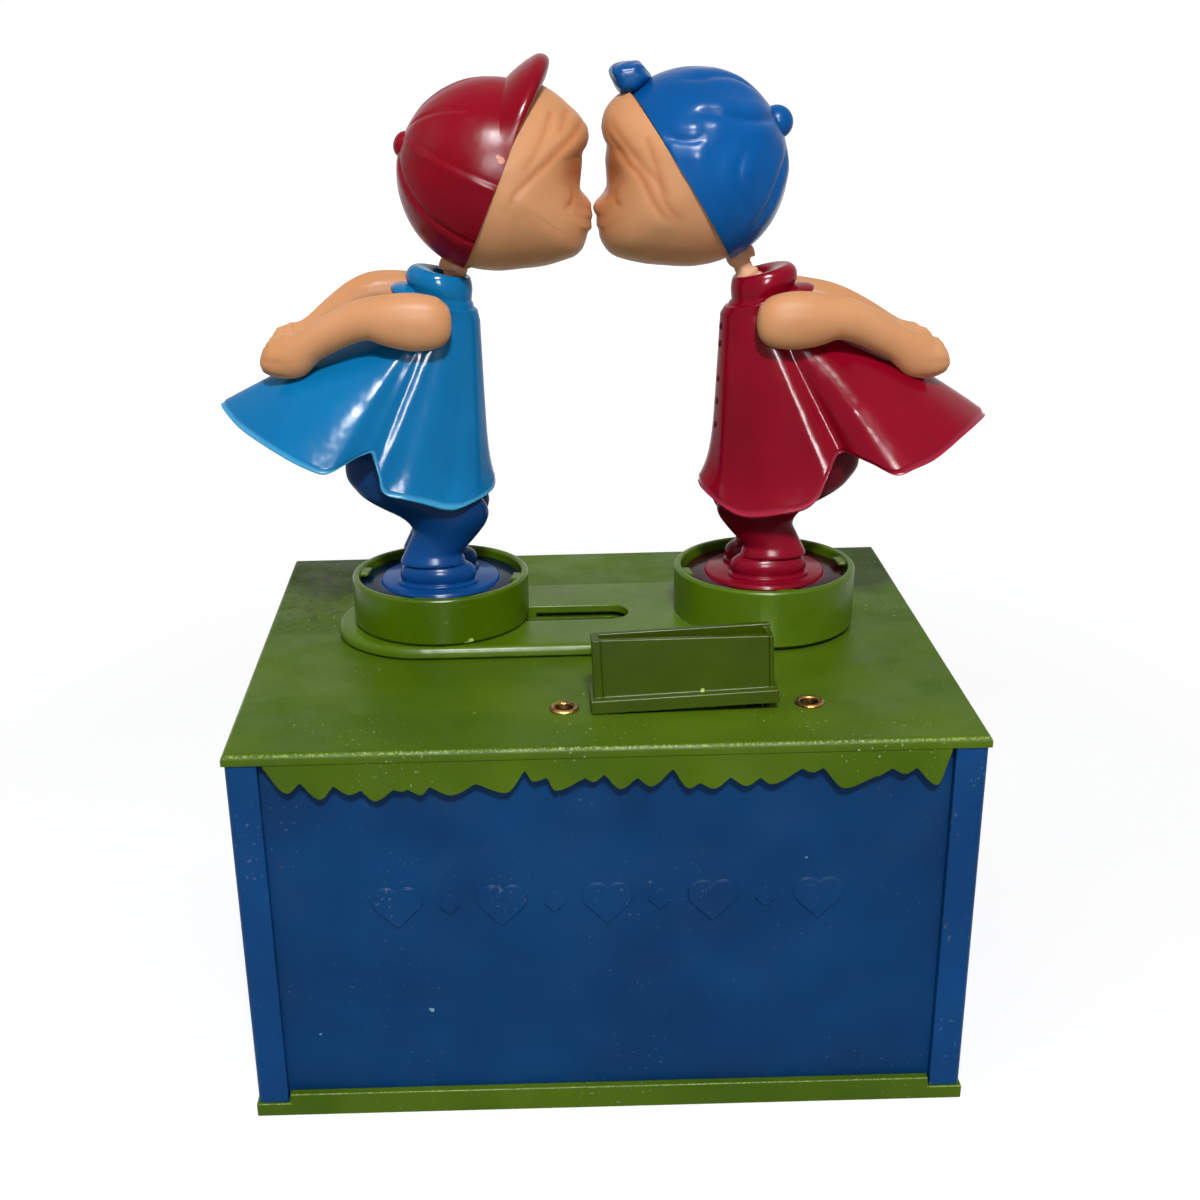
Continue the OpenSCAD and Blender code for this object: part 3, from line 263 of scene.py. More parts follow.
def surfaced(tree, shader, tone, patches, rough):
    """Gives a shader its colour, and a roughness that drifts between two values from patch to patch."""
    tree.links.new(tone, shader.inputs["Base Color"])
    tree.links.new(ramp(tree, patches, 0, 1, *rough), shader.inputs["Roughness"])


def wavy(tree, shader, strength, depth, height):
    """Low waves in a surface; depth is in metres, and height runs from 0 to 1."""
    waves = add(tree, "Bump", {"Strength": strength, "Distance": depth, "Height": height})
    tree.links.new(waves.outputs[0], shader.inputs["Normal"])


def moulded(name, colour, deep, rough=0.25, rub_and_highlight=None, dust=0.0, grime=None, peel=0.12, spots=(),
            chip_colour="#c9b18a", scratches=(), scratch_colour="#5f8fb8", sheen=0.08, painted_light=None):
    """Moulded plastic: colour that drifts a little, slightly uneven gloss, and its signs of use.
    peel is the strength of its low waves. Its upper edges are rubbed, with a painted highlight, to
    the edge colour. Grime is a strength, a place and a radius. A colour of painted light and shade
    covers it where the mesh's own mark of the same name says so."""
    finish, tree, shader = new_finish(name)
    tone = mixed(tree, cloud(tree, 45, 0.35, 0.68), paint(colour), paint(deep))
    if rub_and_highlight:
        # An upper edge, rubbed and given a painted highlight, is where the surface faces neither straight
        # up nor sideways
        facing_up = add(tree, "SeparateXYZ", {0: add(tree, "NewGeometry").outputs["Normal"]}).outputs[2]
        edges = product(tree, ramp(tree, facing_up, *rub_and_highlight_from), ramp(tree, facing_up, *rub_and_highlight_to))
        tone = mixed(tree, product(tree, edges, cloud(tree, 2000, 0.47, 0.6, 4.0)), tone, paint(rub_and_highlight))
    if grime:
        strength, middle, radius = grime
        feeds = {0: add(tree, "TexCoord").outputs["Object"], 1: middle}
        reach = add(tree, "VectorMath", feeds, operation="DISTANCE").outputs["Value"]
        near = ramp(tree, reach, radius, radius * 0.35)
        specks = product(tree, cloud(tree, 520, 0.53, 0.6, 4.0), near, strength)
        tone = mixed(tree, specks, tone, paint(grime_tones[0]))
        film = product(tree, cloud(tree, 70, 0.3, 0.7, 4.0), near, 0.4)
        tone = mixed(tree, film, tone, paint(grime_tones[1]))
    if dust:
        specks = product(tree, cloud(tree, 1300, 0.76, 0.79, 0.0), cloud(tree, 60, 0.5, 0.6), dust)
        tone = mixed(tree, specks, tone, paint(dust_tone))
    if painted_light:
        # Painted light and shade: this colour covers the piece where its mesh's mark says so
        marked = add(tree, "Attribute", attribute_name="painted_light").outputs["Fac"]
        tone = mixed(tree, marked, tone, paint(painted_light))
    tone = scratched(tree, tone, scratches, scratch_colour)
    tone = spotted(tree, tone, spots, chip_colour)
    surfaced(tree, shader, tone, cloud(tree, 120, 0.3, 0.7), (rough * 0.8, rough * 1.35))
    shader.inputs["Specular IOR Level"].default_value = sheen
    wavy(tree, shader, peel, 0.0006, cloud(tree, 160, 0.2, 0.8))
    return finish


def softened(node, name, body, edge, finish):
    """The part's own shape with its flat faces made whole and its sharp edges rounded by edge, in mm."""
    shape = bmesh.new()
    shape.from_mesh(cad[node].data)
    bmesh.ops.remove_doubles(shape, verts=shape.verts, dist=weld)
    bmesh.ops.dissolve_limit(shape, angle_limit=math.radians(flat_within), verts=shape.verts,
                             edges=shape.edges)
    mesh = bpy.data.meshes.new(name)
    shape.to_mesh(mesh)
    shape.free()
    mesh.materials.clear()
    mesh.materials.append(finish)
    mesh.polygons.foreach_set("material_index", [0] * len(mesh.polygons))
    mesh.polygons.foreach_set("use_smooth", [True] * len(mesh.polygons))
    piece = bpy.data.objects.new(name, mesh)
    bpy.context.scene.collection.objects.link(piece)
    rounding = piece.modifiers.new("rounding", "BEVEL")
    rounding.width = edge * MM
    rounding.segments = round_steps
    rounding.limit_method = "ANGLE"
    rounding.angle_limit = math.radians(round_from)
    rounding.use_clamp_overlap = False
    piece.modifiers.new("shading", "WEIGHTED_NORMAL")
    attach(piece, body)
    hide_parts(node)
    return piece


tray_finish = moulded("tray_green", leaf_green, deep_green, 0.4, dust=0.2, rub_and_highlight=rubbed_and_highlit_green)
softened("base_tray", "tray", "bank", 0.3, tray_finish)

# Side walls. Each blue wall is one moulding with its two corner posts and the square columns
# that the case screws run up through; the posts stand a little proud of the panels.
box_blue = "#074178"
deep_blue = "#053a6c"
# Edge colour: rubbed wear and a painted highlight along the upper edges
rubbed_and_highlit_blue = "#2f6ca4"
wall_finish = moulded("box_blue", box_blue, deep_blue, 0.33, dust=0.1, rub_and_highlight=rubbed_and_highlit_blue)
for node in ("left_wall", "right_wall"):
    softened(node, node.replace("wall", "side"), "bank", 0.25, wall_finish)

# Front and back panels. Thin blue plates that slide into grooves in the posts; the front one
# has a row of low hearts and lozenges, the back one the opening for the coin door.
panel_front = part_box("front_panel")[0].y
panel_scratches = [
    ((0.002, panel_front, 0.0615), (0.0225, panel_front, 0.0565)),
    ((0.019, panel_front, 0.031), (0.0255, panel_front, 0.027)),
    ((-0.021, panel_front, 0.026), (-0.0165, panel_front, 0.0305)),
    ((0.04, panel_front, 0.013), (0.047, panel_front, 0.0175)),
]
panel_specks = [
    ((0.0375, panel_front, 0.054), 0.0005), ((0.0145, panel_front, 0.0325), 0.0004),
    ((0.0245, panel_front, 0.0275), 0.0004), ((-0.0345, panel_front, 0.0225), 0.0006),
    ((-0.0565, panel_front, 0.0175), 0.0004), ((0.012, panel_front, 0.0385), 0.0003),
]
panel_finish = moulded("panel_blue", "#083c6c", "#07335f", 0.36, dust=0.1, sheen=0.06,
                       spots=panel_specks, chip_colour="#7fa3bd",
                       scratches=panel_scratches, scratch_colour="#356f9e")
softened("front_panel", "front_plate", "bank", 0.15, panel_finish)
softened("back_panel", "back_plate", "bank", 0.3, panel_finish)

# Lid. A green plate with a rounded top edge and a fringe of drips hanging in front of the panels.
# Its top is matt with handling, dirty at the back left, and its upper edges are rubbed pale, with a painted
# highlight along them.
lid_finish = moulded("lid_green", leaf_green, deep_green, 0.42, dust=0.5, rub_and_highlight=rubbed_and_highlit_green,
                     grime=(0.55, (-0.056, 0.03, 0.079), 0.034), sheen=0.06)
softened("lid", "lid_plate", "bank", 0.12, lid_finish)

# Track plate and moving cup. The plate with its straight slot ends in the fixed right-hand cup;
# the left-hand cup stands on the plate and slides along the slot. Both are satin green plastic.
cup_finish = moulded("cup_green", "#4b6702", "#3f5a00", 0.22, dust=0.1, sheen=0.12,
                     spots=(((-0.0255, -0.0108, 0.0826), 0.0007), ((-0.0266, -0.0106, 0.0825), 0.0005)),
                     chip_colour="#a9c262")
# The track's green is painted a little paler than the moving cup's, as light on its broad top
softened("track_plate", "track", "bank", 0.25, moulded("track_green", "#53700a", "#466006", 0.3, sheen=0.1))
softened("left_cup", "moving_cup", "carriage", 0.2, cup_finish)

# Coin chute. A narrow pocket of a slightly more yellow batch of green plastic, painted darker as shade on
# its upright faces, hinged under the lid at its left end and held a little off the lid at the other; a coin
# pushes it down to close the switch.
chute_shaded_finish = moulded("chute_green_painted_shade", "#3d5001", "#334400", 0.3, dust=0.05,
                       spots=(((0.0188, -0.0402, 0.0832), 0.0004),), chip_colour="#a9c262")
softened("coin_chute", "chute_pocket", "chute", 0.25, chute_shaded_finish)

# Metal of the works. Plated steel screws, plates and pins, and the brass of the eyelets, the
# motor pinion and the switch blades; all is bought or stamped sheet, dulled by age.
metals = {
    "steel": ("#b4b6b8", "#8d9093", 0.32),
    "brass": ("#b98d4e", "#7c5526", 0.36),
}
old_brass = ("#94723f", "#33210f", 0.32)


def metal(name, colour, deep, rough):
    """Old metal: patches of tarnish, and a rough fine grain."""
    finish, tree, shader = new_finish(name)
    tone = mixed(tree, cloud(tree, 380, 0.35, 0.7, 4.0), paint(colour), paint(deep))
    surfaced(tree, shader, tone, cloud(tree, 900, 0.3, 0.7, 3.0), (rough * 0.75, rough * 1.4))
    shader.inputs["Metallic"].default_value = 1.0
    wavy(tree, shader, 0.15, 0.0002, cloud(tree, 2500, 0.3, 0.7))
    return finish


metal_finish = {name: metal(name, *values) for name, values in metals.items()}


def finished(node, finish):
    """A part whose own shape is right, in its finish."""
    if not cad[node].material_slots:
        cad[node].data.materials.append(finish)
    for place in cad[node].material_slots:
        place.material = finish


for node in ("case_screws", "track_screws", "chute_bracket", "chute_pin", "gear_plate", "plate_screws",
             "gear_arbors", "motor_can", "motor_shaft", "carriage_screw"):
    finished(node, metal_finish["steel"])
for node in ("contact_blades", "motor_pinion"):
    finished(node, metal_finish["brass"])
softened("eyelets", "brass_eyelets", "bank", 0.1, metal("old_brass", *old_brass))

# Plastics of the works. Natural nylon gears, a black rack bar and battery holder, a brown
# laminate block for the switch, and a plain two-tone sleeve on the cell.
nylon = moulded("nylon", "#e6e1d2", "#d8d0ba", 0.4)
black_plastic = moulded("black_plastic", "#26262a", "#1b1b1e", 0.45, dust=0.3)
laminate = moulded("laminate", "#6a4426", "#4e3019", 0.55)
cell_sleeve = moulded("cell_sleeve", "#c9b263", "#b89d48", 0.3)
for node in ("compound_gear", "output_gear"):
    finished(node, nylon)
for node in ("slider_bar", "battery_holder"):
    finished(node, black_plastic)
finished("contact_block", laminate)
finished("battery_cell", cell_sleeve)
finished("battery_contacts", metal_finish["steel"])

# Doors. The green battery door slides in a channel of the tray; the blue coin door turns on two
# stub pins at its lower edge and has a small finger lip.
softened("battery_door", "battery_hatch", "bottom_door", 0.25, tray_finish)
softened("coin_door", "coin_hatch", "back_door", 0.2, panel_finish)

# Wires and return spring. Three red sleeved wires join the switch, the motor and the battery
# holder; a light pull spring of steel wire brings the moving cup back to the left.
wire_r = 0.6
wire_sides = 12
wire_rows = 90
wire_routes = [
    [(38, -33.6, 71.4), (38, -33.6, 70), (37.5, -30, 66), (35, -20, 62), (31, -6, 58), (26, 8, 50),
     (20, 18, 40), (14, 23.5, 34.8), (11, 25.4, 35.2), (10.8, 25.5, 36.6), (10.8, 25.5, 38)],
    [(41, -34.8, 71.4), (41, -34.8, 70), (43, -30, 64), (44, -16, 54), (44, 0, 42), (42.5, 18, 30),
     (38, 31, 22), (34.5, 35.6, 17.8), (32.6, 36, 16.5), (31, 36, 16.5)],
    [(-31, 36, 16.5), (-32.6, 36, 16.5), (-34, 35.6, 18.5), (-32, 35, 23), (-26, 32, 27),
     (-12, 28.5, 30), (-1, 26, 33), (2.2, 25.6, 35.2), (2.4, 25.5, 36.6), (2.4, 25.5, 38)],
]
spring_turns = 6
spring_steps = 36
spring_r = 1.4
spring_wire_r = 0.22
spring_wire_sides = 8
# Edges sharper than this angle, in degrees, stay creases in a smooth mesh
crease_from = 50
# Straight wire at each end of the spring, and its distance from the ends of its room
spring_hook = 0.5
spring_gap = 0.1


def flowing(stations, count):
    """A few stations filled in along a smooth curve: count evenly spaced rows, or the rows at an
    array of places counted in stations."""
    p = np.array(stations, float)
    t = np.linspace(0, len(p) - 1, count) if isinstance(count, int) else count
    i = np.minimum(t.astype(int), len(p) - 2)
    s = (t - i)[:, None]
    a, b = p[np.maximum(i - 1, 0)], p[i]
    c, d = p[i + 1], p[np.minimum(i + 2, len(p) - 1)]
    return 0.5 * (2 * b + (c - a) * s + (2 * a - 5 * b + 4 * c - d) * s ** 2
                  + (3 * b - a - 3 * c + d) * s ** 3)


def skin_faces(rows, around, wrap=False):
    """Faces of a skin over rows of points, each row a closed ring; wrap joins the last to the first."""
    return [(i * around + j, i * around + (j + 1) % around,
             (i + 1) % rows * around + (j + 1) % around, (i + 1) % rows * around + j)
            for i in range(rows if wrap else rows - 1) for j in range(around)]


def shaped(name, parts, finish, marks=None):
    """A smooth piece from parts, each a pair of points in metres and faces; marks are values at points."""
    points = np.concatenate([p for p, part_faces in parts])
    faces = []
    start = 0
    for p, part_faces in parts:
        faces += [tuple(start + v for v in face) for face in part_faces]
        start += len(p)
    mesh = bpy.data.meshes.new(name)
    mesh.from_pydata(points.tolist(), [], faces)
    for key, values in (marks or {}).items():
        mesh.attributes.new(key, "FLOAT", "POINT").data.foreach_set("value", np.ravel(values))
    shape = bmesh.new()
    shape.from_mesh(mesh)
    bmesh.ops.recalc_face_normals(shape, faces=shape.faces)
    shape.to_mesh(mesh)
    shape.free()
    mesh.materials.append(finish)
    mesh.polygons.foreach_set("use_smooth", [True] * len(mesh.polygons))
    mesh.set_sharp_from_angle(angle=math.radians(crease_from))
    piece = bpy.data.objects.new(name, mesh)
    bpy.context.scene.collection.objects.link(piece)
    return piece


def drawn_tube(path, radius, sides):
    """Points and faces of a round tube along a path, both in millimetres, with closed ends."""
    path = np.array(path, float)
    along = np.gradient(path, axis=0)
    along /= np.linalg.norm(along, axis=1)[:, None]
    steep = np.abs(along[:, 2:]) > 0.9
    sideways = np.cross(along, np.where(steep, [[1.0, 0, 0]], [[0, 0, 1.0]]))
    sideways /= np.linalg.norm(sideways, axis=1)[:, None]
    upward = np.cross(along, sideways)
    turn = np.linspace(0, 2 * math.pi, sides, endpoint=False)[None, :, None]
    rings = path[:, None] + radius * (np.cos(turn) * sideways[:, None] + np.sin(turn) * upward[:, None])
    faces = skin_faces(len(path), sides)
    last = (len(path) - 1) * sides
    faces += [tuple(range(sides)), tuple(last + j for j in reversed(range(sides)))]
    return rings.reshape(-1, 3) * MM, faces


wire_finish = moulded("wire_red", "#8a1a1a", "#701212", 0.5)
parts = [drawn_tube(flowing(route, wire_rows), wire_r, wire_sides) for route in wire_routes]
wires = shaped("red_wires", parts, wire_finish)
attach(wires, "bank")
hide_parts("hookup_wires")

spring_low, spring_high = [np.array(corner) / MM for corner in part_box("return_spring")]
spring_middle = (spring_low + spring_high) / 2
spring_from, spring_to = spring_low[0] + spring_gap, spring_high[0] - spring_gap
coil_share = np.linspace(0, 1, spring_turns * spring_steps)
coil_turn = coil_share * spring_turns * 2 * math.pi
coil = np.stack([spring_from + spring_hook + (spring_to - spring_from - 2 * spring_hook) * coil_share,
                 spring_middle[1] + spring_r * np.cos(coil_turn),
                 spring_middle[2] + spring_r * np.sin(coil_turn)], axis=1)
coil = np.concatenate([[coil[0] - [spring_hook, 0, 0]], coil, [coil[-1] + [spring_hook, 0, 0]]])
spring = shaped("pull_spring", [drawn_tube(coil, spring_wire_r, spring_wire_sides)], metal_finish["steel"])
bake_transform(spring)
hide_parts("return_spring")

# Dolls' legs. Each doll's bent legs, bell-bottom trousers and stepped shoes are one glossy casting
# on a round foot disc, whose wide flange lies under the four lugs of the cup.
# From here on a doll's own measures are in millimetres: x towards the other doll, z up from the table
cup_low, cup_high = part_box("left_cup")
track_r = 19.0
row_y = (cup_low.y + cup_high.y) / 2 / MM
stands = [(cup_low.x + cup_high.x) / 2 / MM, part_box("track_plate")[1].x / MM - track_r]
facing = [1, -1]
sides = ["left", "right"]
bodies = ["carriage", "bank"]
head_bodies = ["left_head_body", "right_head_body"]
leg_apart = 4.8
# Stations of a leg, from the sole over the shoe and the trouser hem into the hip: height, back,
# front, half width
leg_stations = [
    (91.0, -8.2, 7.6, 4.7), (91.2, -8.6, 8.1, 5.0), (91.8, -8.6, 8.1, 5.0), (92.0, -8.2, 7.7, 4.7),
    (92.2, -7.9, 7.5, 4.5), (93.2, -8.1, 7.8, 4.7), (94.4, -7.8, 7.5, 4.6), (95.3, -7.2, 6.6, 4.2),
    (95.6, -7.0, 5.8, 3.9), (95.9, -7.8, 5.7, 4.5), (96.6, -7.7, 5.5, 4.5), (98.2, -6.9, 5.3, 4.0),
    (100.5, -5.8, 7.3, 4.0), (102.4, -5.0, 8.9, 4.3), (104.2, -5.6, 10.2, 4.7), (106, -7.6, 10.8, 4.9),
    (107.8, -11, 10.5, 5.0), (109.6, -14, 9.4, 5.0), (111.5, -16, 8, 4.9), (115, -18, 6.4, 4.8),
    (120, -17, 5, 4.4), (125, -11, 4, 3.7), (129, -6, 3, 3.1),
]
# Foot disc, from the rim of its underside over the flange to the top: radius and height
foot_profile = [(16.5, 88.95), (16.8, 89.2), (16.8, 90.2), (16.5, 90.5), (12.9, 90.5),
                (12.6, 90.55), (12.5, 90.8), (12.4, 91.1), (12.1, 91.3)]
leg_rows = 150
leg_around = 48
# Painted shade under the skirt: how dark, from which height and over how much height; and painted
# shade on the flange in the cup: how dark, and from which radius
hip_painted_shade = (0.45, 98, 8)
flange_painted_shade = (0.92, 12.7)


def put(points, who):
    """Points of the bank in metres, from a doll's own points."""
    x, y, z = np.array(points, float).reshape(-1, 3).T
    return np.stack([stands[who] + facing[who] * x, row_y + y, z], axis=1) * MM


def capped(rings):
    """Points and faces of a solid over rings of points, closed by a fan at each end."""
    rows, around = rings.shape[:2]
    points = np.concatenate([rings.reshape(-1, 3), [rings[0].mean(0)], [rings[-1].mean(0)]])
    faces = skin_faces(rows, around)
    last = (rows - 1) * around
    faces += [(rows * around, (j + 1) % around, j) for j in range(around)]
    faces += [(rows * around + 1, last + j, last + (j + 1) % around) for j in range(around)]
    return points, faces


def turned(profile, steps=96):
    """Rings of a turned shape about its own upright axis, from pairs of radius and height."""
    turn = np.linspace(0, 2 * math.pi, steps, endpoint=False)
    return np.array([[(r * math.cos(a), r * math.sin(a), z) for a in turn] for r, z in profile])


def leg_rings(side):
    """Rings of the near leg, side -1, or of the far one, side 1."""
    turn = np.linspace(0, 2 * math.pi, leg_around, endpoint=False)
    rows = flowing(leg_stations, leg_rows)
    return np.array([[((back + front) / 2 + (front - back) / 2 * math.cos(a),
                       side * leg_apart + half * math.sin(a), z) for a in turn]
                     for z, back, front, half in rows])


# Trousers: colour, its drift, and the colour of the painted shade under the skirt and in the cup
leg_colours = [("#0c4a8c", "#0a3f7a", "#020d1c"), ("#8a0a24", "#74071c", "#1c0206")]
for who in (0, 1):
    colour, deep, painted_light = leg_colours[who]
    finish = moulded(sides[who] + "_trousers", colour, deep, 0.2, peel=0.2, sheen=0.07, painted_light=painted_light)
    parts = [capped(leg_rings(-1)), capped(leg_rings(1)), capped(turned(foot_profile))]
    # Painted shade: the hips lie in the dark of the skirt, and the flange in that of the cup
    share, low, reach = hip_painted_shade
    dark = [share * np.clip((points[:, 2] - low) / reach, 0, 1) for points, faces in parts[:2]]
    share, radius = flange_painted_shade
    dark.append(share * (np.hypot(*parts[2][0][:, :2].T) > radius))
    marks = {"painted_light": np.concatenate(dark)}
    parts = [(put(points, who), faces) for points, faces in parts]
    legs = shaped(sides[who] + "_trousers", parts, finish, marks)
    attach(legs, bodies[who])
    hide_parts(sides[who] + "_legs")

# Dresses. A thin bell of glossy plastic, pushed down over the hips, with a thick rolled collar, a
# fold that runs up from a notch in each side of the hem, and a lip along the hem.
dress_wall = 1.1
# Half of each hem, from the front round to the back: angle round the dress, x, side distance, z
hems = [
    [(0, 12.6, 0, 111.8), (9, 12.1, 3.5, 111), (22, 9.9, 7, 110.2), (38, 5.4, 11.5, 109.4),
     (48, 2.3, 13, 109.8), (60, -1.2, 14.1, 111.1), (74, -5.5, 14.9, 112.4), (87, -9.4, 15.1, 113.6),
     (94, -10.2, 14.9, 116.5), (103, -10.8, 14.6, 119.8), (109, -11.4, 14.4, 121.8),
     (115, -13, 15.2, 121.6), (124, -16.4, 17.6, 120.4), (134, -20.4, 19.2, 119.2),
     (143, -25, 18.6, 120.7), (152, -30, 16.4, 123), (165, -36.8, 11, 126), (173, -40.6, 6, 127.9),
     (180, -43, 0, 129.4)],
    [(0, 14.7, 0, 110.6), (9, 14, 4, 110), (22, 11, 9, 108.3), (36, 7.4, 12.5, 107),
     (47, 3.5, 14.2, 107.1), (60, -1, 15.1, 107.7), (72, -5.6, 15.6, 108.7), (80, -8, 15.5, 110.7),
     (90, -9.8, 15, 114.3), (100, -11.3, 14.4, 117.8), (107, -12.6, 14, 119.4), (114, -14.2, 14.7, 119),
     (124, -17.8, 17, 117.9), (135, -22.5, 19.6, 116.2), (144, -27, 19.3, 117.8),
     (153, -31.8, 17.4, 119.6), (165, -37.5, 12.6, 122.4), (173, -42, 6.5, 123.6),
     (180, -44.7, 0, 123.7)],
]
# Rings of the collar and chest: x, z, half length, half width, forward tilt
collar_rings = [
    (4.2, 152.4, 3, 3, 14), (4.2, 153.1, 3.2, 3.2, 14), (4, 153.7, 3.7, 3.6, 14),
    (3.5, 154.1, 4.6, 4.4, 14), (3, 154.2, 5.6, 5.3, 14), (2.6, 153.7, 6.2, 5.8, 13),
    (2.4, 152.8, 6.6, 6.1, 13), (2.3, 151.7, 6.7, 6.2, 12), (2.4, 150.7, 6.5, 6.1, 12),
    (2.5, 149.8, 6.3, 5.9, 12), (2.7, 149, 6.4, 5.9, 11), (2.8, 148.4, 6.5, 5.9, 11),
    (2.9, 147.9, 7, 6.1, 10), (3, 147.2, 7.1, 6, 9), (3.2, 145.5, 7.2, 5.8, 5),
]
# The collar stands at a slightly different place on each doll: x and z; it all shifts above the
# first height and none below the second
collar_shift = [(0.2, 0.4), (-0.5, -0.8)]
collar_shift_over = (150, 146)
collar_rows = 76
dress_around = 240
# Rows of the skirt: how many, down to which share of the way to the hem, then those of its lip
skirt_rows = (60, 0.955)
lip_rows = (12, 0.96)
# How much of its way out the skirt's front makes evenly; the rest comes with this power of the
# way down, so that the front hangs straight and flares at the hem
front_flare = (0.35, 8)
# How high the back of each skirt arches, how far the lip of the hem stands out, and the share of
# the way down at which the lip begins, with the share that it takes to come out
back_arch = [0.8, 1.6]
lip_out = [0.25, 0.5]
lip_from = (0.97, 0.02)
# Flutes of the skirt: angle round the dress, depth, spread
flutes = [
    [(30, -0.35, 9), (52, 0.3, 8), (74, -0.3, 8), (103, 0.45, 6), (121, 0.5, 7)],
    [(24, -0.3, 9), (46, 0.25, 9), (107, 1.2, 8), (151, 0.7, 7)],
]
# A rounded flap behind the collar, between the arms: x, z, half length and half height; then its
# half width, and how far it tips forward for each millimetre up
flaps = [(-3.4, 150.7, 3.9, 1.6), (-4.2, 149.0, 4.1, 1.5)]
flap_half = 5
flap_tip = 0.25
# Painted light along the rim of each hem, as through its thin edge: its share of the paler colour, its last
# rows and those it fades over
rim_painted_light = (0.5, 9, 4)
# Buttons: heights, radius and half thickness, and the column of the dress's mesh that they follow
button_heights = [142.6, 139.2, 132.2, 127.6, 122.8]
button_size = (0.7, 0.26)
button_column = 6


def leaning(rings, foot, top):
    """Rings turned about an upright axis, leant so that the axis runs from foot to top."""
    lean = math.atan2(top[0] - foot[0], top[1] - foot[1])
    x = rings[..., 0] * math.cos(lean) + rings[..., 2] * math.sin(lean) + foot[0]
    z = rings[..., 2] * math.cos(lean) - rings[..., 0] * math.sin(lean) + foot[1]
    return np.stack([x, rings[..., 1], z], axis=-1)


def rounded(half_width, half_height, count, ends=(0.04, 3.1)):
    """Profile of a flattened ball, to be turned: ends are the angles at which it starts and stops."""
    return [(half_width * math.sin(a), -half_height * math.cos(a)) for a in np.linspace(*ends, count)]


def bell(x, spread):
    """1 where x is 0, falling off smoothly on both sides."""
    return np.exp(-(x / spread) ** 2)


def dress_rings(who):
    """Rings of a dress, from inside the collar down to the hem."""
    turn = np.linspace(0, 2 * math.pi, dress_around, endpoint=False)
    rows = flowing(collar_rings, collar_rows)
    lean = np.radians(rows[:, 4:5])
    out = rows[:, 2:3] * np.cos(turn)
    top = np.stack([rows[:, 0:1] + out * np.cos(lean), rows[:, 3:4] * np.sin(turn),
                    rows[:, 1:2] - out * np.sin(lean)], axis=2)
    all_from, none_under = collar_shift_over
    shift = np.clip((rows[:, 1:2] - none_under) / (all_from - none_under), 0, 1)
    top = top + shift[:, None] * [collar_shift[who][0], 0, collar_shift[who][1]]
    # The hem goes on a little past its front and back, so that its curve closes smoothly there
    half = np.array(hems[who], float)
    mirror = np.array([-1, 1, -1, 1])
    past_back = half[-3:-1][::-1] * mirror + [360, 0, 0, 0]
    ring = np.concatenate([half[1:3][::-1] * mirror, half, past_back])
    angle = np.degrees(turn)
    angle = np.where(angle > 180, 360 - angle, angle)
    hem = flowing(ring[:, 1:], np.interp(angle, ring[:, 0], np.arange(len(ring))))
    hem[:, 1] *= np.where(turn > math.pi, -1, 1)
    (count, last), (lip_count, lip_first) = skirt_rows, lip_rows
    share = np.concatenate([np.linspace(0, last, count)[1:], np.linspace(lip_first, 1, lip_count)])[:, None]
    front = np.maximum(0, np.cos(turn))[None, :]
    back = np.maximum(0, -np.cos(turn))[None, :]
    even, power = front_flare
    spread = share + front * (even * share + (1 - even) * share ** power - share)
    spread = spread[..., None]
    level = np.broadcast_to(share[..., None], spread.shape)
    skirt = top[-1] + (hem - top[-1]) * np.concatenate([spread, spread, level], axis=2)
    skirt[..., 2] += back_arch[who] * 4 * share * (1 - share) * back ** 2
    # Flutes fade in below the chest; the lip of the hem stands out along the surface's own normal
    normal = np.cross(np.gradient(skirt, axis=0), np.roll(skirt, -1, 1) - np.roll(skirt, 1, 1))
    normal /= -np.linalg.norm(normal, axis=2)[..., None]
    fluted = sum(depth * bell(angle - at, width) for at, depth, width in flutes[who])
    rise = np.sin(share * math.pi * 0.62) ** 1.5 * fluted[None, :]
    rise = rise + lip_out[who] * np.clip((share - lip_from[0]) / lip_from[1], 0, 1)
    return np.concatenate([top, skirt + rise[..., None] * normal])


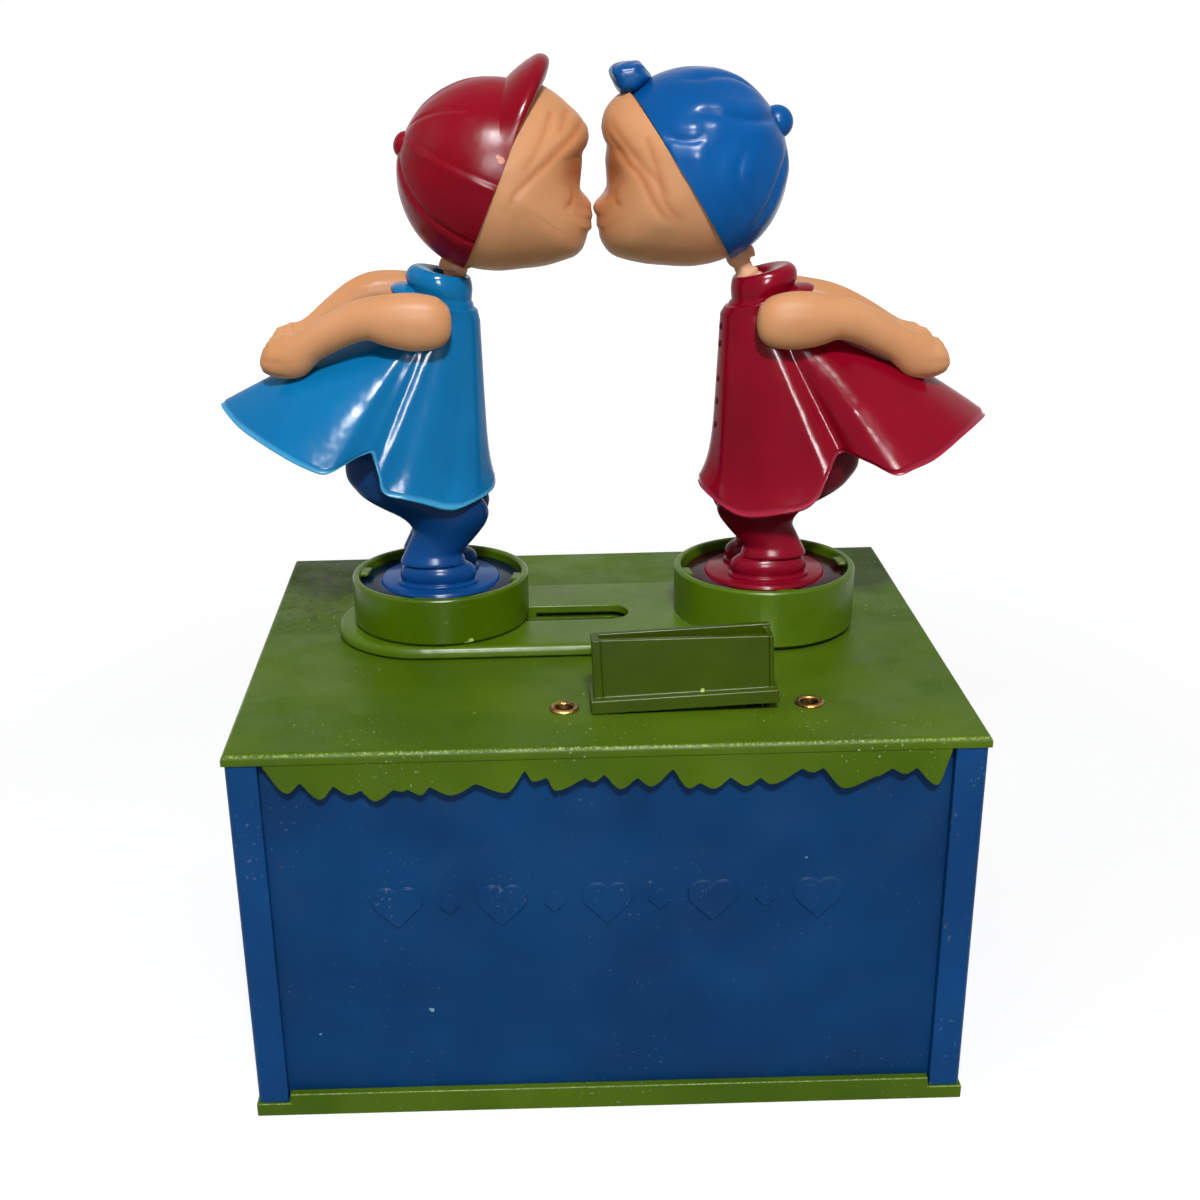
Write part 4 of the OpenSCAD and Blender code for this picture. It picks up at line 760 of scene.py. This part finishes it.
# Dresses: colour, its drift, and the paler colour of the painted light along the hem
dress_colours = [("#0a6fa6", "#066498", "#55b2de"), ("#8b0621", "#7a0319", "#b4304c")]
for who in (0, 1):
    colour, deep, painted_edge_light = dress_colours[who]
    finish = moulded(sides[who] + "_dress", colour, deep, 0.16, peel=0.2, sheen=0.08, painted_light=painted_edge_light)
    rings = dress_rings(who)
    x, z, long, high = flaps[who]
    flap = turned(rounded(1, 1, 20), 40) * [long, flap_half, high]
    flap, flap_joins = capped(leaning(flap, (x, z), (x + flap_tip, z + 1)))
    parts = [(put(rings, who), skin_faces(len(rings), dress_around)), (put(flap, who), flap_joins)]
    # Painted light: the thin edge of the hem is painted paler, as light coming through it
    share, last, fade = rim_painted_light
    rim = share * np.clip((np.arange(len(rings)) - len(rings) + last) / fade, 0, 1)
    marks = {"painted_light": np.concatenate([np.repeat(rim, dress_around), 0 * flap[:, 0]])}
    dress = shaped(sides[who] + "_frock", parts, finish, marks)
    wall = dress.modifiers.new("wall", "SOLIDIFY")
    wall.thickness = dress_wall * MM
    wall.offset = -1
    wall.use_quality_normals = True
    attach(dress, bodies[who])
    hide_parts(sides[who] + "_dress")
    if who == 1:
        # Five small buttons down the front of the right dress, of its red painted dark as shade
        front = rings[collar_rows:, button_column]
        buttons_painted_dark_finish = moulded("buttons_painted_shade", "#4a0612", "#38040d", 0.3)
        parts = []
        for height in button_heights:
            x = np.interp(-height, -front[:, 2], front[:, 0])
            y = np.interp(-height, -front[:, 2], front[:, 1])
            button = turned(rounded(*button_size, 12, (0.05, 3.09)), 24)
            button, button_joins = capped(leaning(button, (x, height), (x + 1, height)) + [0, -y, 0])
            parts.append((put(button, who), button_joins))
        buttons_piece = shaped("front_buttons", parts, buttons_painted_dark_finish)
        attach(buttons_piece, bodies[who])

# Arms. Soft satin vinyl arms, bent back at the elbow with the hands together behind the skirt;
# a peg inside each shoulder plugs it into the dress.

# Stations of each doll's arms, from the shoulder to the hand: x, side distance, z, half width and
# half height
arm_stations = [
    [(5, 9.7, 146.2, 0.9, 1.3), (4.3, 9.8, 146.2, 2.2, 3.3), (2.2, 9.8, 146.2, 3.3, 4.9),
     (-2, 9.8, 146.4, 3.7, 5.6), (-6.5, 9.7, 146.8, 3.8, 5.2), (-11, 9.2, 147.1, 3.7, 4.2),
     (-15, 8.6, 146.1, 3.5, 3.8), (-19.5, 7.6, 143.9, 3.3, 3.6), (-22.8, 6.8, 142, 3.1, 3.4),
     (-24.6, 6.3, 140.8, 3.2, 3.8), (-26.6, 5.8, 139.8, 3.4, 4.5), (-29, 5.4, 139.4, 3.4, 4.3),
     (-31.4, 5.2, 139.5, 3, 3.7), (-32.4, 5.1, 139.7, 2.3, 2.8), (-33, 5.1, 139.9, 1.2, 1.4)],
    [(4.2, 9.7, 144.9, 0.9, 1.3), (3.5, 9.8, 144.9, 2.2, 3.3), (1.4, 9.8, 144.9, 3.3, 4.9),
     (-2.5, 9.8, 145, 3.7, 5.6), (-7, 9.7, 145.1, 3.8, 5.3), (-11.5, 9.2, 145.2, 3.7, 4.3),
     (-15.5, 8.6, 144.1, 3.5, 3.9), (-20, 7.6, 141.9, 3.3, 3.7), (-24.2, 6.8, 139.5, 3.1, 3.5),
     (-26.2, 6.3, 138.2, 3.2, 3.9), (-28.2, 5.8, 137.1, 3.4, 4.5), (-30.4, 5.4, 136.4, 3.4, 4.3),
     (-32.8, 5.2, 136.4, 3, 3.7), (-34, 5.1, 136.6, 2.3, 2.8), (-34.6, 5.1, 136.8, 1.2, 1.4)],
]
# How much higher the elbow of the far arm is than the near one's; its x, and how far the rise spreads
far_elbow = [2.2, 0]
elbow_at = (-12, 9)
# Three shallow grooves between the fingers: where each doll's fingers begin, over what length the
# grooves deepen, and their share of the hand's size
knuckles = [-27.6, -29]
finger_grooves = (2, 0.05)
arm_rows = 120
arm_around = 60
# Peg: its radius and its two ends beside the doll's middle, and its x and z
peg = [(1.6, 1.9), (1.6, 8.5)]
peg_at = (0.6, 143.6)
flesh_sheen = 0.04
flesh_rough = (0.3, 0.42)
# Light under the skin: how far red, green and blue go, as shares of a reach in millimetres, and
# how much of the light goes there
flesh_glow = ((1.0, 0.45, 0.25), 1.5, 0.15)


def flesh(name, colour="#cf966b", deep="#c68c5e", painted_shade_tone="#a85a2a"):
    """Satin vinyl that glows a little, with a warm painted shade where the mesh's own mark says that it
    dips.
    """
    finish, tree, shader = new_finish(name)
    tone = mixed(tree, cloud(tree, 60, 0.35, 0.7), paint(colour), paint(deep))
    hollow = add(tree, "Attribute", attribute_name="hollow").outputs["Fac"]
    tone = mixed(tree, hollow, tone, paint(painted_shade_tone))
    surfaced(tree, shader, tone, cloud(tree, 150, 0.3, 0.7), flesh_rough)
    shader.inputs["Specular IOR Level"].default_value = flesh_sheen
    tint, reach, share = flesh_glow
    shader.inputs["Subsurface Weight"].default_value = share
    shader.inputs["Subsurface Radius"].default_value = tint
    shader.inputs["Subsurface Scale"].default_value = reach * MM
    wavy(tree, shader, 0.08, 0.0005, cloud(tree, 260, 0.2, 0.8))
    return finish


flesh_finish = flesh("flesh_vinyl")


def arm_rings(who, side):
    """Rings of a doll's near arm, side -1, or of the far one, side 1."""
    rows = flowing(arm_stations[who], arm_rows)
    lift = far_elbow[who] * bell(rows[:, 0] - elbow_at[0], elbow_at[1]) if side > 0 else 0
    path = np.stack([rows[:, 0], side * rows[:, 1], rows[:, 2] + lift], 1)
    along = np.gradient(path, axis=0)
    along /= np.linalg.norm(along, axis=1)[:, None]
    upward = np.stack([-along[:, 2], 0 * along[:, 0], along[:, 0]], axis=1)
    upward /= np.linalg.norm(upward, axis=1)[:, None]
    turn = np.linspace(0, 2 * math.pi, arm_around, endpoint=False)[None, :, None]
    deepening, depth = finger_grooves
    hand = np.clip((knuckles[who] - rows[:, 0]) / deepening, 0, 1)[:, None, None]
    grooved = 1 - depth * hand * np.cos(4 * turn + 0.6) ** 8
    return (path[:, None] + grooved * (rows[:, 3][:, None, None] * np.cos(turn) * [0, 1, 0]
                                       + rows[:, 4][:, None, None] * np.sin(turn) * upward[:, None]))


for who in (0, 1):
    for side, word in ((-1, "near"), (1, "far")):
        peg_rings = turned(peg, 24)[..., [0, 2, 1]] * [1, side, 1] + [peg_at[0], 0, peg_at[1]]
        parts = [capped(arm_rings(who, side)), capped(peg_rings)]
        parts = [(put(points, who), faces) for points, faces in parts]
        arm = shaped(f"{sides[who]}_{word}_vinyl_arm", parts, flesh_finish)
        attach(arm, bodies[who])
        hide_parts(f"{sides[who]}_{word}_arm")

# Necks. A ringed flesh-coloured stem plugged into the legs' core, ending in the ball on which the
# head tips; only its top shows between the collar and the head.

# x and z of the foot of each neck and of its ball; then the stem from the foot up, and each doll's
# own rings over it: radius and height over the foot
neck_foot = (2.6, 146.6)
neck_balls = [(5.8, 155.2), (7.0, 156.2)]
ball_r = 2.5
neck_profile = [(0.05, -2.8), (1.5, -2.8), (1.6, -2.6), (1.6, 0.4), (1.9, 0.8), (2, 3.4), (2.8, 4.4),
                (3, 5)]
neck_rings = [
    [(3, 5.9), (2.8, 6.3), (2.4, 6.5), (1.9, 6.7)],
    [(3, 5.5), (2.7, 5.8), (2.4, 6), (2.4, 6.3), (2.5, 6.6), (2.4, 6.9), (2.1, 7.1), (1.8, 7.6),
     (1.8, 8.4)],
]
# The necks' vinyl is painted paler than the arms' and heads', as painted light against the shade under the
# heads
neck_painted_light_finish = flesh("neck_vinyl_painted_light", "#dba882", "#d29c74")

for who in (0, 1):
    length = math.dist(neck_foot, neck_balls[who])
    ball = [(r, length + z) for r, z in rounded(ball_r, ball_r, 24, (0.75, math.pi - 0.05))]
    rings = leaning(turned(neck_profile + neck_rings[who] + ball, 48), neck_foot, neck_balls[who])
    points, faces = capped(rings)
    neck = shaped(sides[who] + "_neck_stem", [(put(points, who), faces)], neck_painted_light_finish)
    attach(neck, bodies[who])
    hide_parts(sides[who] + "_neck")

# Heads. Hollow satin vinyl with pursed lips, round cheeks and no nose to speak of; the hair is
# only moulded locks, swept from the forehead back to the jaw. A socket below grips the neck ball.

# Plain egg of the head: half length, half width, height of its top on each doll and of its bottom,
# and x and z of its middle
head_half = 17.9
head_side = 16.0
head_tops = [17.1, 18.1]
head_bottom = 18.2
head_middles = [(13.7, 172.8), (16.4, 172.8)]
# How far each face's axis points up, and how far from that axis the cap's edge lies, in degrees
face_axis = [-23.5, -32]
cap_edge = [85.6, 81.9]
# How far above the egg the skin lies under the cap, and the angles of its few rows there
head_inside = -0.9
hidden_rows = [100, 116, 132, 148, 164, 176]
face_rows = 150
face_around = 300
socket_r = 3.3
socket_room = 0.12
# Broad forms: elevation, height over the plain egg, then the spread up and sideways, in degrees
broad_forms = [(-42, 4.3, 22, 40), (30, 2.0, 17, 44), (52, 1.2, 16, 40)]
# Outline of each face in the middle: elevation and height over the egg, from the crown to the throat
outlines = [
    [(100, 0.3), (80, 0.9), (62, 1.4), (49, 1.65), (40, 1.8), (32, 2.2), (26, 2.3), (20, 1.9),
     (15.6, 1.1), (11.4, -0.15), (6, -0.5), (-1.4, -0.8), (-8, -0.85), (-11.5, -0.5), (-14, 0.6),
     (-17, 1.9), (-20, 2.35), (-23, 3.0), (-25.5, 3.15), (-29, 3.85), (-31.5, 3.65), (-35, 4.0),
     (-40, 4.5), (-45, 4.3), (-51, 3.3), (-60, 2.1), (-75, 0.5), (-95, 0)],
    [(100, 0.3), (80, 0.8), (62, 1.2), (48, 1.6), (43, 2.0), (36, 2.2), (30, 1.9), (24.6, 1.25),
     (19.7, 0.2), (15.4, -0.9), (6.3, -1.15), (-1.1, -1.4), (-9, -1.35), (-12.5, -1.1), (-15, 0.1),
     (-17, 1.6), (-19, 2.3), (-22, 2.45), (-24.5, 2.4), (-28.5, 3.1), (-31, 3.2), (-35, 3.85),
     (-41, 4.2), (-46, 4.0), (-52, 3.1), (-60, 2.0), (-75, 0.5), (-95, 0)],
]
# How far sideways the outline's own shape reaches, by elevation, in degrees
outline_reach = [(-100, 30), (-45, 27), (-32, 19), (-20, 15), (-13, 18), (-6, 25), (10, 27), (20, 34),
                 (60, 44), (100, 44)]
# Dip beside the nose: depth, elevation and its spread, side angle and its spread
cheek_dip = (0.6, 2, 12, 27, 12)
# Painted warm shade beside the nose and at the corners of the mouth: share, then as above
painted_shade_places = [(0.75, 3, 15, 18, 20), (0.25, -14, 5, 26, 9)]
# Locks of hair, drawn on the side of the head: forward and up from its middle, in millimetres
hair_lines = [
    [[(16.6, 8.8), (15.6, 8), (13.1, 5.1), (10.2, 2.3), (7.3, -0.4), (4.4, -3.0), (2.8, -6)],
     [(11.2, 11), (10.7, 9.7), (8.8, 4.9), (5.9, 1)],
     [(13.6, 10.6), (13, 9.3), (12.3, 6.8)]],
    [[(15.9, 8.2), (15.5, 5.9), (13.6, 2.6), (11, 0), (9.1, -3.4), (6.9, -6.6), (3.4, -9)],
     [(15, 9), (14.4, 7.1), (11.2, 2.4), (8.3, -0.7), (6.9, -3.9), (4.7, -6.9), (2.3, -8.7)],
     [(9.8, 7), (9.1, 4.6), (7.5, -0.7), (5.8, -4.1)]],
]
# How high each lock stands; it falls off slowly on one side and steeply on the other, over these
# millimetres, with a crease along the steep side: share of its height, place beside it, half width
hair_heights = [(0.46, 0.26, 0.24), (0.4, 0.32, 0.2)]
lock_slopes = (5, 0.75)
lock_crease = (0.6, -0.6, 0.9)
# Painted warm shade along the crease: share, place beside it, half width, and how a low lock still shows
crease_painted_shade = (0.6, -0.5, 0.6, 0.4)
# The fold at each corner of the mouth, drawn the same way: then its depth and half width, and the
# share and half width of its painted warm shade
mouth_folds = [[(15.4, -2), (15.0, -3.6), (14.0, -4.9), (12.6, -5.3)],
               [(15.3, -2.2), (15.1, -3.6), (14.4, -4.9), (13.1, -5.2)]]
fold_depth = (0.22, 0.7)
fold_painted_shade = (0.22, 0.8)


def directions(axis, polar, turn):
    """Unit directions at an angle from the face's axis and an angle round it, counted from the top."""
    a, p, t = math.radians(axis), np.radians(polar)[..., None], np.radians(turn)[..., None]
    outward = np.array([math.cos(a), 0, math.sin(a)])
    upward = np.array([-math.sin(a), 0, math.cos(a)])
    sideways = np.array([0, 1, 0])
    return np.cos(p) * outward + np.sin(p) * (np.cos(t) * upward + np.sin(t) * sideways)


def skull(who, d):
    """Distance from the middle of the head to its plain egg shape, in the given directions."""
    tall = np.where(d[..., 2] > 0, head_tops[who], head_bottom)
    x, y, z = d[..., 0] / head_half, d[..., 1] / head_side, d[..., 2] / tall
    return 1 / np.sqrt(x ** 2 + y ** 2 + z ** 2)


def drawn_on_head(who, line, count=40):
    """A line drawn on the side of the head, as directions from its middle."""
    x, z = flowing(line, count).T
    depth = np.sqrt(np.maximum(0.02, 1 - (x / head_half) ** 2 - (z / head_tops[who]) ** 2))
    d = np.stack([x, depth * head_side, z], axis=1)
    return d / np.linalg.norm(d, axis=1)[:, None]


def one_side(d):
    """Directions with those of the far side laid over the near side's."""
    return d * np.array([1, 0, 1]) + np.abs(d) * np.array([0, 1, 0])


def fading(share, times):
    """1 along a drawn line, falling to 0 over the last 1 / times of it at both ends."""
    return np.clip(np.minimum(share, 1 - share) * times, 0, 1)


def beside(d, line):
    """Signed distance in millimetres from directions to a drawn line, and how far along it they lie."""
    best = np.full(d.shape[:-1], 1e9)
    signed = np.zeros(d.shape[:-1])
    share = np.zeros(d.shape[:-1])
    for i in range(len(line) - 1):
        step = line[i + 1] - line[i]
        t = np.clip(((d - line[i]) @ step) / (step @ step), 0, 1)
        off = d - line[i] - t[..., None] * step
        far = np.linalg.norm(off, axis=-1) * head_half
        side = np.sign(off @ np.cross(step, line[i]))
        closer = far < best
        best = np.where(closer, far, best)
        signed = np.where(closer, far * side, signed)
        share = np.where(closer, (i + t) / (len(line) - 1), share)
    return signed, share


def face(who, d):
    """Distance from the middle of the head to its skin, and how much painted shade the skin takes there."""
    up = np.degrees(np.arctan2(d[..., 2], d[..., 0]))
    side = np.degrees(np.arcsin(np.clip(np.abs(d[..., 1]), 0, 1)))
    broad = sum(height * bell(up - at, spread_up) for at, height, spread_up, _ in broad_forms)
    line = flowing(outlines[who], 240)[::-1]
    reach = np.interp(up, *np.array(outline_reach, float).T)
    r = skull(who, d) + (np.interp(up, line[:, 0], line[:, 1]) - broad) * bell(side, reach)
    for at, height, spread_up, spread_side in broad_forms:
        r = r + height * bell(up - at, spread_up) * bell(side, spread_side)
    depth, at, spread_up, side_at, spread_side = cheek_dip
    r = r - depth * bell(up - at, spread_up) * bell(side - side_at, spread_side)
    hollow = sum(amount * bell(up - at, spread_up) * bell(side - side_at, spread_side)
                 for amount, at, spread_up, side_at, spread_side in painted_shade_places)
    for line, height in zip(hair_lines[who], hair_heights[who]):
        off, share = beside(one_side(d), drawn_on_head(who, line))
        fade = fading(share, 5)
        fade = fade * fade * (3 - 2 * fade)
        ridge = height * np.exp(-np.abs(off) / lock_slopes[0]) / (1 + np.exp(-off / lock_slopes[1]))
        part, place, width = lock_crease
        r = r + (ridge - part * height * bell(off - place, width)) * fade
        amount, place, width, least = crease_painted_shade
        hollow = hollow + amount * bell(off - place, width) * fade * (least + height)
    off, share = beside(one_side(d), drawn_on_head(who, mouth_folds[who]))
    r = r - fold_depth[0] * bell(off, fold_depth[1]) * fading(share, 4)
    hollow = hollow + fold_painted_shade[0] * bell(off, fold_painted_shade[1]) * fading(share, 4)
    return r, np.clip(hollow, 0, 1)


for who in (0, 1):
    middle = np.array([head_middles[who][0], 0, head_middles[who][1]])
    turn = np.linspace(0, 360, face_around, endpoint=False)[None, :]
    edge = cap_edge[who]
    polar = np.concatenate([np.linspace(0.8, edge, face_rows), [edge + 1], hidden_rows])
    d = directions(face_axis[who], *np.broadcast_arrays(polar[:, None], turn))
    r, hollow = face(who, d)
    r = np.where(polar[:, None] > edge + 0.5, skull(who, d) + head_inside, r)
    skin, skin_joins = capped(middle + r[..., None] * d)
    # The socket's outside comes down over the ball, and its bore goes up round it again
    bore_r = ball_r + socket_room
    rim = [(socket_r * math.cos(a), socket_r * math.sin(a)) for a in np.linspace(math.pi / 2 - 0.05, 0, 16)]
    bore = [(bore_r * math.cos(a), bore_r * math.sin(a)) for a in np.linspace(0, 1.45, 12)]
    ball_middle = [neck_balls[who][0], 0, neck_balls[who][1]]
    socket, socket_joins = capped(turned(rim + bore, 48) + ball_middle)
    marks = {"hollow": np.concatenate([hollow.ravel(), np.zeros(2 + len(socket))])}
    parts = [(put(skin, who), skin_joins), (put(socket, who), socket_joins)]
    head = shaped(sides[who] + "_vinyl_head", parts, flesh_finish, marks)
    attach(head, head_bodies[who])
    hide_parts(sides[who] + "_head")

# Caps. Thin glossy plastic shells glued on the heads. The left one is sewn from eight wedges, with
# a button on its crown and a turned-up brim; the right one is a soft folded cap with a bobble.

# How far the cap's outside and inside stand above the egg, and the last rows of its inside
cap_rise = 0.6
cap_inside = -0.7
cap_hidden_rows = [95, 106, 128, 150, 172]
cap_around = 360
# The outside begins with rows from the crown, at this angle from the face's axis
crown_at = 177
crown_rows = 80
# Seams of the left cap, by the angle round from the top, and which of them stand up; the brim
# covers the front ends of those up to an angle
wedge_seams = [0, 49, 94, 133, 180]
raised_seams = [0, 94]
brim_over = 60
# A seam ends at the button, and one under the brim begins behind it: angle from the face's axis,
# and over how many degrees
seam_ends = (172, 14)
seam_begins = (112, 16)
# Ridges and grooves of a raised seam and of a sunk one: height, place beside the seam, half width
raised_seam = [(0.22, 0, 1.1), (-0.12, -1.1, 0.6)]
sunk_seam = [(-0.3, 0, 0.5), (0.16, 1.6, 1.6)]
# Left brim: its height, the angle to each side of the top over which it runs out, and how steeply
brim_height = 5.6
brim_half = 66
brim_fall = 1.5
# How many degrees the crease behind the brim lies behind the edge: always, and more at the top,
# until this angle to each side
crease_behind = (1.4, 16, 78)
# Rim rows, from the crease behind the brim to the edge: share of the way back to that crease,
# forward lean in degrees, share of the brim's height, and rise above the head
rim_stations = [(1, 0, 0, cap_rise), (0.7, 0, 0.42, cap_rise), (0.46, 0, 0.76, cap_rise),
                (0.27, 0, 1, cap_rise), (0.12, 0.8, 1.07, cap_rise), (0.06, 2.6, 0.95, 0.6),
                (0.04, 4.2, 0.55, 0.4), (0.03, 4.6, 0.12, 0.15)]
rim_rows = 48
# Button of the left cap and bobble of the right one: middle, half height outward, half width
buttons = [((-16.9, 5.8), 1.9, 2.5), ((-16.2, 8.3), 3.1, 3.2)]
# Roll on the right cap's front: outline of its middle, forward and up from the head's middle, and
# half its length across the head
roll_outline = [(15.9, 18.2), (15.3, 19.2), (13.6, 19.7), (11.4, 19.9), (10, 19.6), (9, 18.4), (8, 16.8),
                (9.6, 14.9), (11.8, 14.1), (13.5, 14.1), (14.6, 15.1), (15.5, 16.7)]
roll_half = 5.0
roll_steps = 5
# How round the ends of the roll are; its lumps: share of its size, and how they go round and along it
roll_end = 0.45
roll_lumps = (0.03, 0.62, 7)
# Folds of the right cap: angle from the face's axis, angle round it from the top, in degrees
cap_folds = [
    ([(168, 88), (157, 85), (142, 77), (127, 67), (117, 59), (107, 53)], 0.45),
    ([(170, 20), (154, 20), (143, 20), (132, 24), (120, 27), (108, 24)], 0.35),
    ([(84, 55), (91, 63), (98, 68), (106, 71)], 0.3),
    ([(126, 92), (114, 100), (106, 114), (101, 133)], 0.25),
    ([(160, 148), (148, 141), (137, 137), (119, 141), (100, 144)], 0.4),
]
# A fold is a groove between two shoulders: half width of the groove, then the shoulders' share of
# its depth, their distance from it and their half width
fold_groove = 0.8
fold_shoulders = (0.75, 2.4, 1.8)
# Soft lumps of the right cap, placed in the same way as the folds: then a height and a spread
cap_lumps = [(112, 48, 0.25, 7), (101, 62, 0.22, 7), (124, 62, 0.2, 8), (96, 80, 0.2, 9),
             (118, 86, -0.25, 9), (112, 115, 0.2, 12), (140, 100, 0.2, 12), (104, 22, 0.2, 12)]


def from_top(turn):
    """Angle to either side of the top, from an angle round."""
    return np.abs((turn + 180) % 360 - 180)


def cap_outside(who, d, polar, turn):
    """How far the cap's outside stands above the egg shape."""
    rise = np.full(d.shape[:-1], cap_rise)
    turn = from_top(turn)
    if who == 0:
        for seam in wedge_seams:
            off = head_half * np.sin(np.radians(polar)) * np.radians(turn - seam)
            fade = np.clip((seam_ends[0] - polar) / seam_ends[1], 0, 1)
            if seam < brim_over:
                fade = fade * np.clip((polar - seam_begins[0]) / seam_begins[1], 0, 1)
            for height, place, width in raised_seam if seam in raised_seams else sunk_seam:
                rise = rise + height * bell(off - place, width) * fade
        return rise
    part, apart, width = fold_shoulders
    for line, depth in cap_folds:
        places = flowing(line, 40)
        off, share = beside(one_side(d), directions(face_axis[1], places[:, 0], places[:, 1]))
        fold = part * depth * bell(np.abs(off) - apart, width) - depth * bell(off, fold_groove)
        rise = rise + fading(share, 4) * fold
    for at, round_at, height, spread in cap_lumps:
        away = np.hypot(polar - at, np.sin(np.radians(polar)) * (turn - round_at))
        rise = rise + height * bell(away, spread)
    return rise


def brim_share(turn):
    """How much of its full height the left cap's brim has, by the angle round from the top."""
    off = np.minimum(from_top(turn), brim_half)
    share = np.cos(np.radians(off * 90 / brim_half))
    return np.where(off < brim_half, np.maximum(share, 0) ** brim_fall, 0.0)


cap_finishes = [
    moulded("crimson_cap", "#860219", "#780115", 0.25, peel=0.2,
            spots=(((-0.0165, -0.0091, 0.1766), 0.0006), ((-0.0171, -0.0091, 0.1773), 0.0004)),
            chip_colour="#c07a5c", sheen=0.07),
    moulded("blue_cap", "#03559a", "#024b8a", 0.24, peel=0.25,
            spots=(((0.0141, -0.0065, 0.1808), 0.0005), ((0.0163, -0.0086, 0.177), 0.0004)),
            chip_colour="#6f9a6a", sheen=0.07),
]
for who in (0, 1):
    middle = np.array([head_middles[who][0], 0, head_middles[who][1]])
    turn = np.linspace(0, 360, cap_around, endpoint=False)
    edge = cap_edge[who]
    grow = brim_share(turn) if who == 0 else 0 * turn
    least, more, until = crease_behind
    brim_back = least + more * np.clip(1 - (from_top(turn) / until) ** 3, 0.1, 1)
    rows = []
    for share in np.linspace(0, 1, crown_rows, endpoint=False):
        angle = crown_at + (edge + brim_back - crown_at) * share
        d = directions(face_axis[who], angle, turn)
        rows.append(middle + (skull(who, d) + cap_outside(who, d, angle, turn))[..., None] * d)
    for back, lean, share, rise in flowing(rim_stations, rim_rows):
        angle = edge + back * brim_back - grow * lean
        d = directions(face_axis[who], angle, turn)
        folds = (cap_outside(who, d, angle, turn) - cap_rise) * (1 - grow) * min(1, back * 4)
        above_egg = rise + brim_height * grow * share + folds
        rows.append(middle + (skull(who, d) + above_egg)[..., None] * d)
    for polar in [edge + 0.6] + cap_hidden_rows:
        d = directions(face_axis[who], np.full(turn.shape, polar), turn)
        rows.append(middle + (skull(who, d) + cap_inside)[..., None] * d)
    shell, shell_joins = capped(np.stack(rows))
    (x, z), half_height, half_width = buttons[who]
    foot = (x + middle[0], z + middle[2])
    outward = (x * 2 + middle[0], z * 2 + middle[2])
    knob, knob_joins = capped(leaning(turned(rounded(half_width, half_height, 28), 40), foot, outward))
    parts = [(put(shell, who), shell_joins), (put(knob, who), knob_joins)]
    if who == 1:
        # The roll is a lumpy block with round ends, sunk into the cap
        around = len(roll_outline) * roll_steps
        ring = flowing(roll_outline + roll_outline[:2], around + roll_steps + 1)[roll_steps:][:around]
        heart = ring.mean(0)
        amount, round_it, along_it = roll_lumps
        rings = []
        for a in np.linspace(0.03, 3.11, 40):
            size = math.sin(a) ** roll_end
            lumps = 1 + amount * np.sin(np.arange(len(ring)) * round_it + along_it * math.cos(a))
            x, z = (heart + (ring - heart) * (size * lumps)[:, None]).T
            rings.append(np.stack([x, np.full(len(ring), -roll_half * math.cos(a)), z], axis=1))
        roll, roll_joins = capped(np.array(rings) + middle)
        parts.append((put(roll, who), roll_joins))
    cap = shaped(sides[who] + "_doll_cap", parts, cap_finishes[who])
    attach(cap, head_bodies[who])
    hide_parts(sides[who] + "_cap")
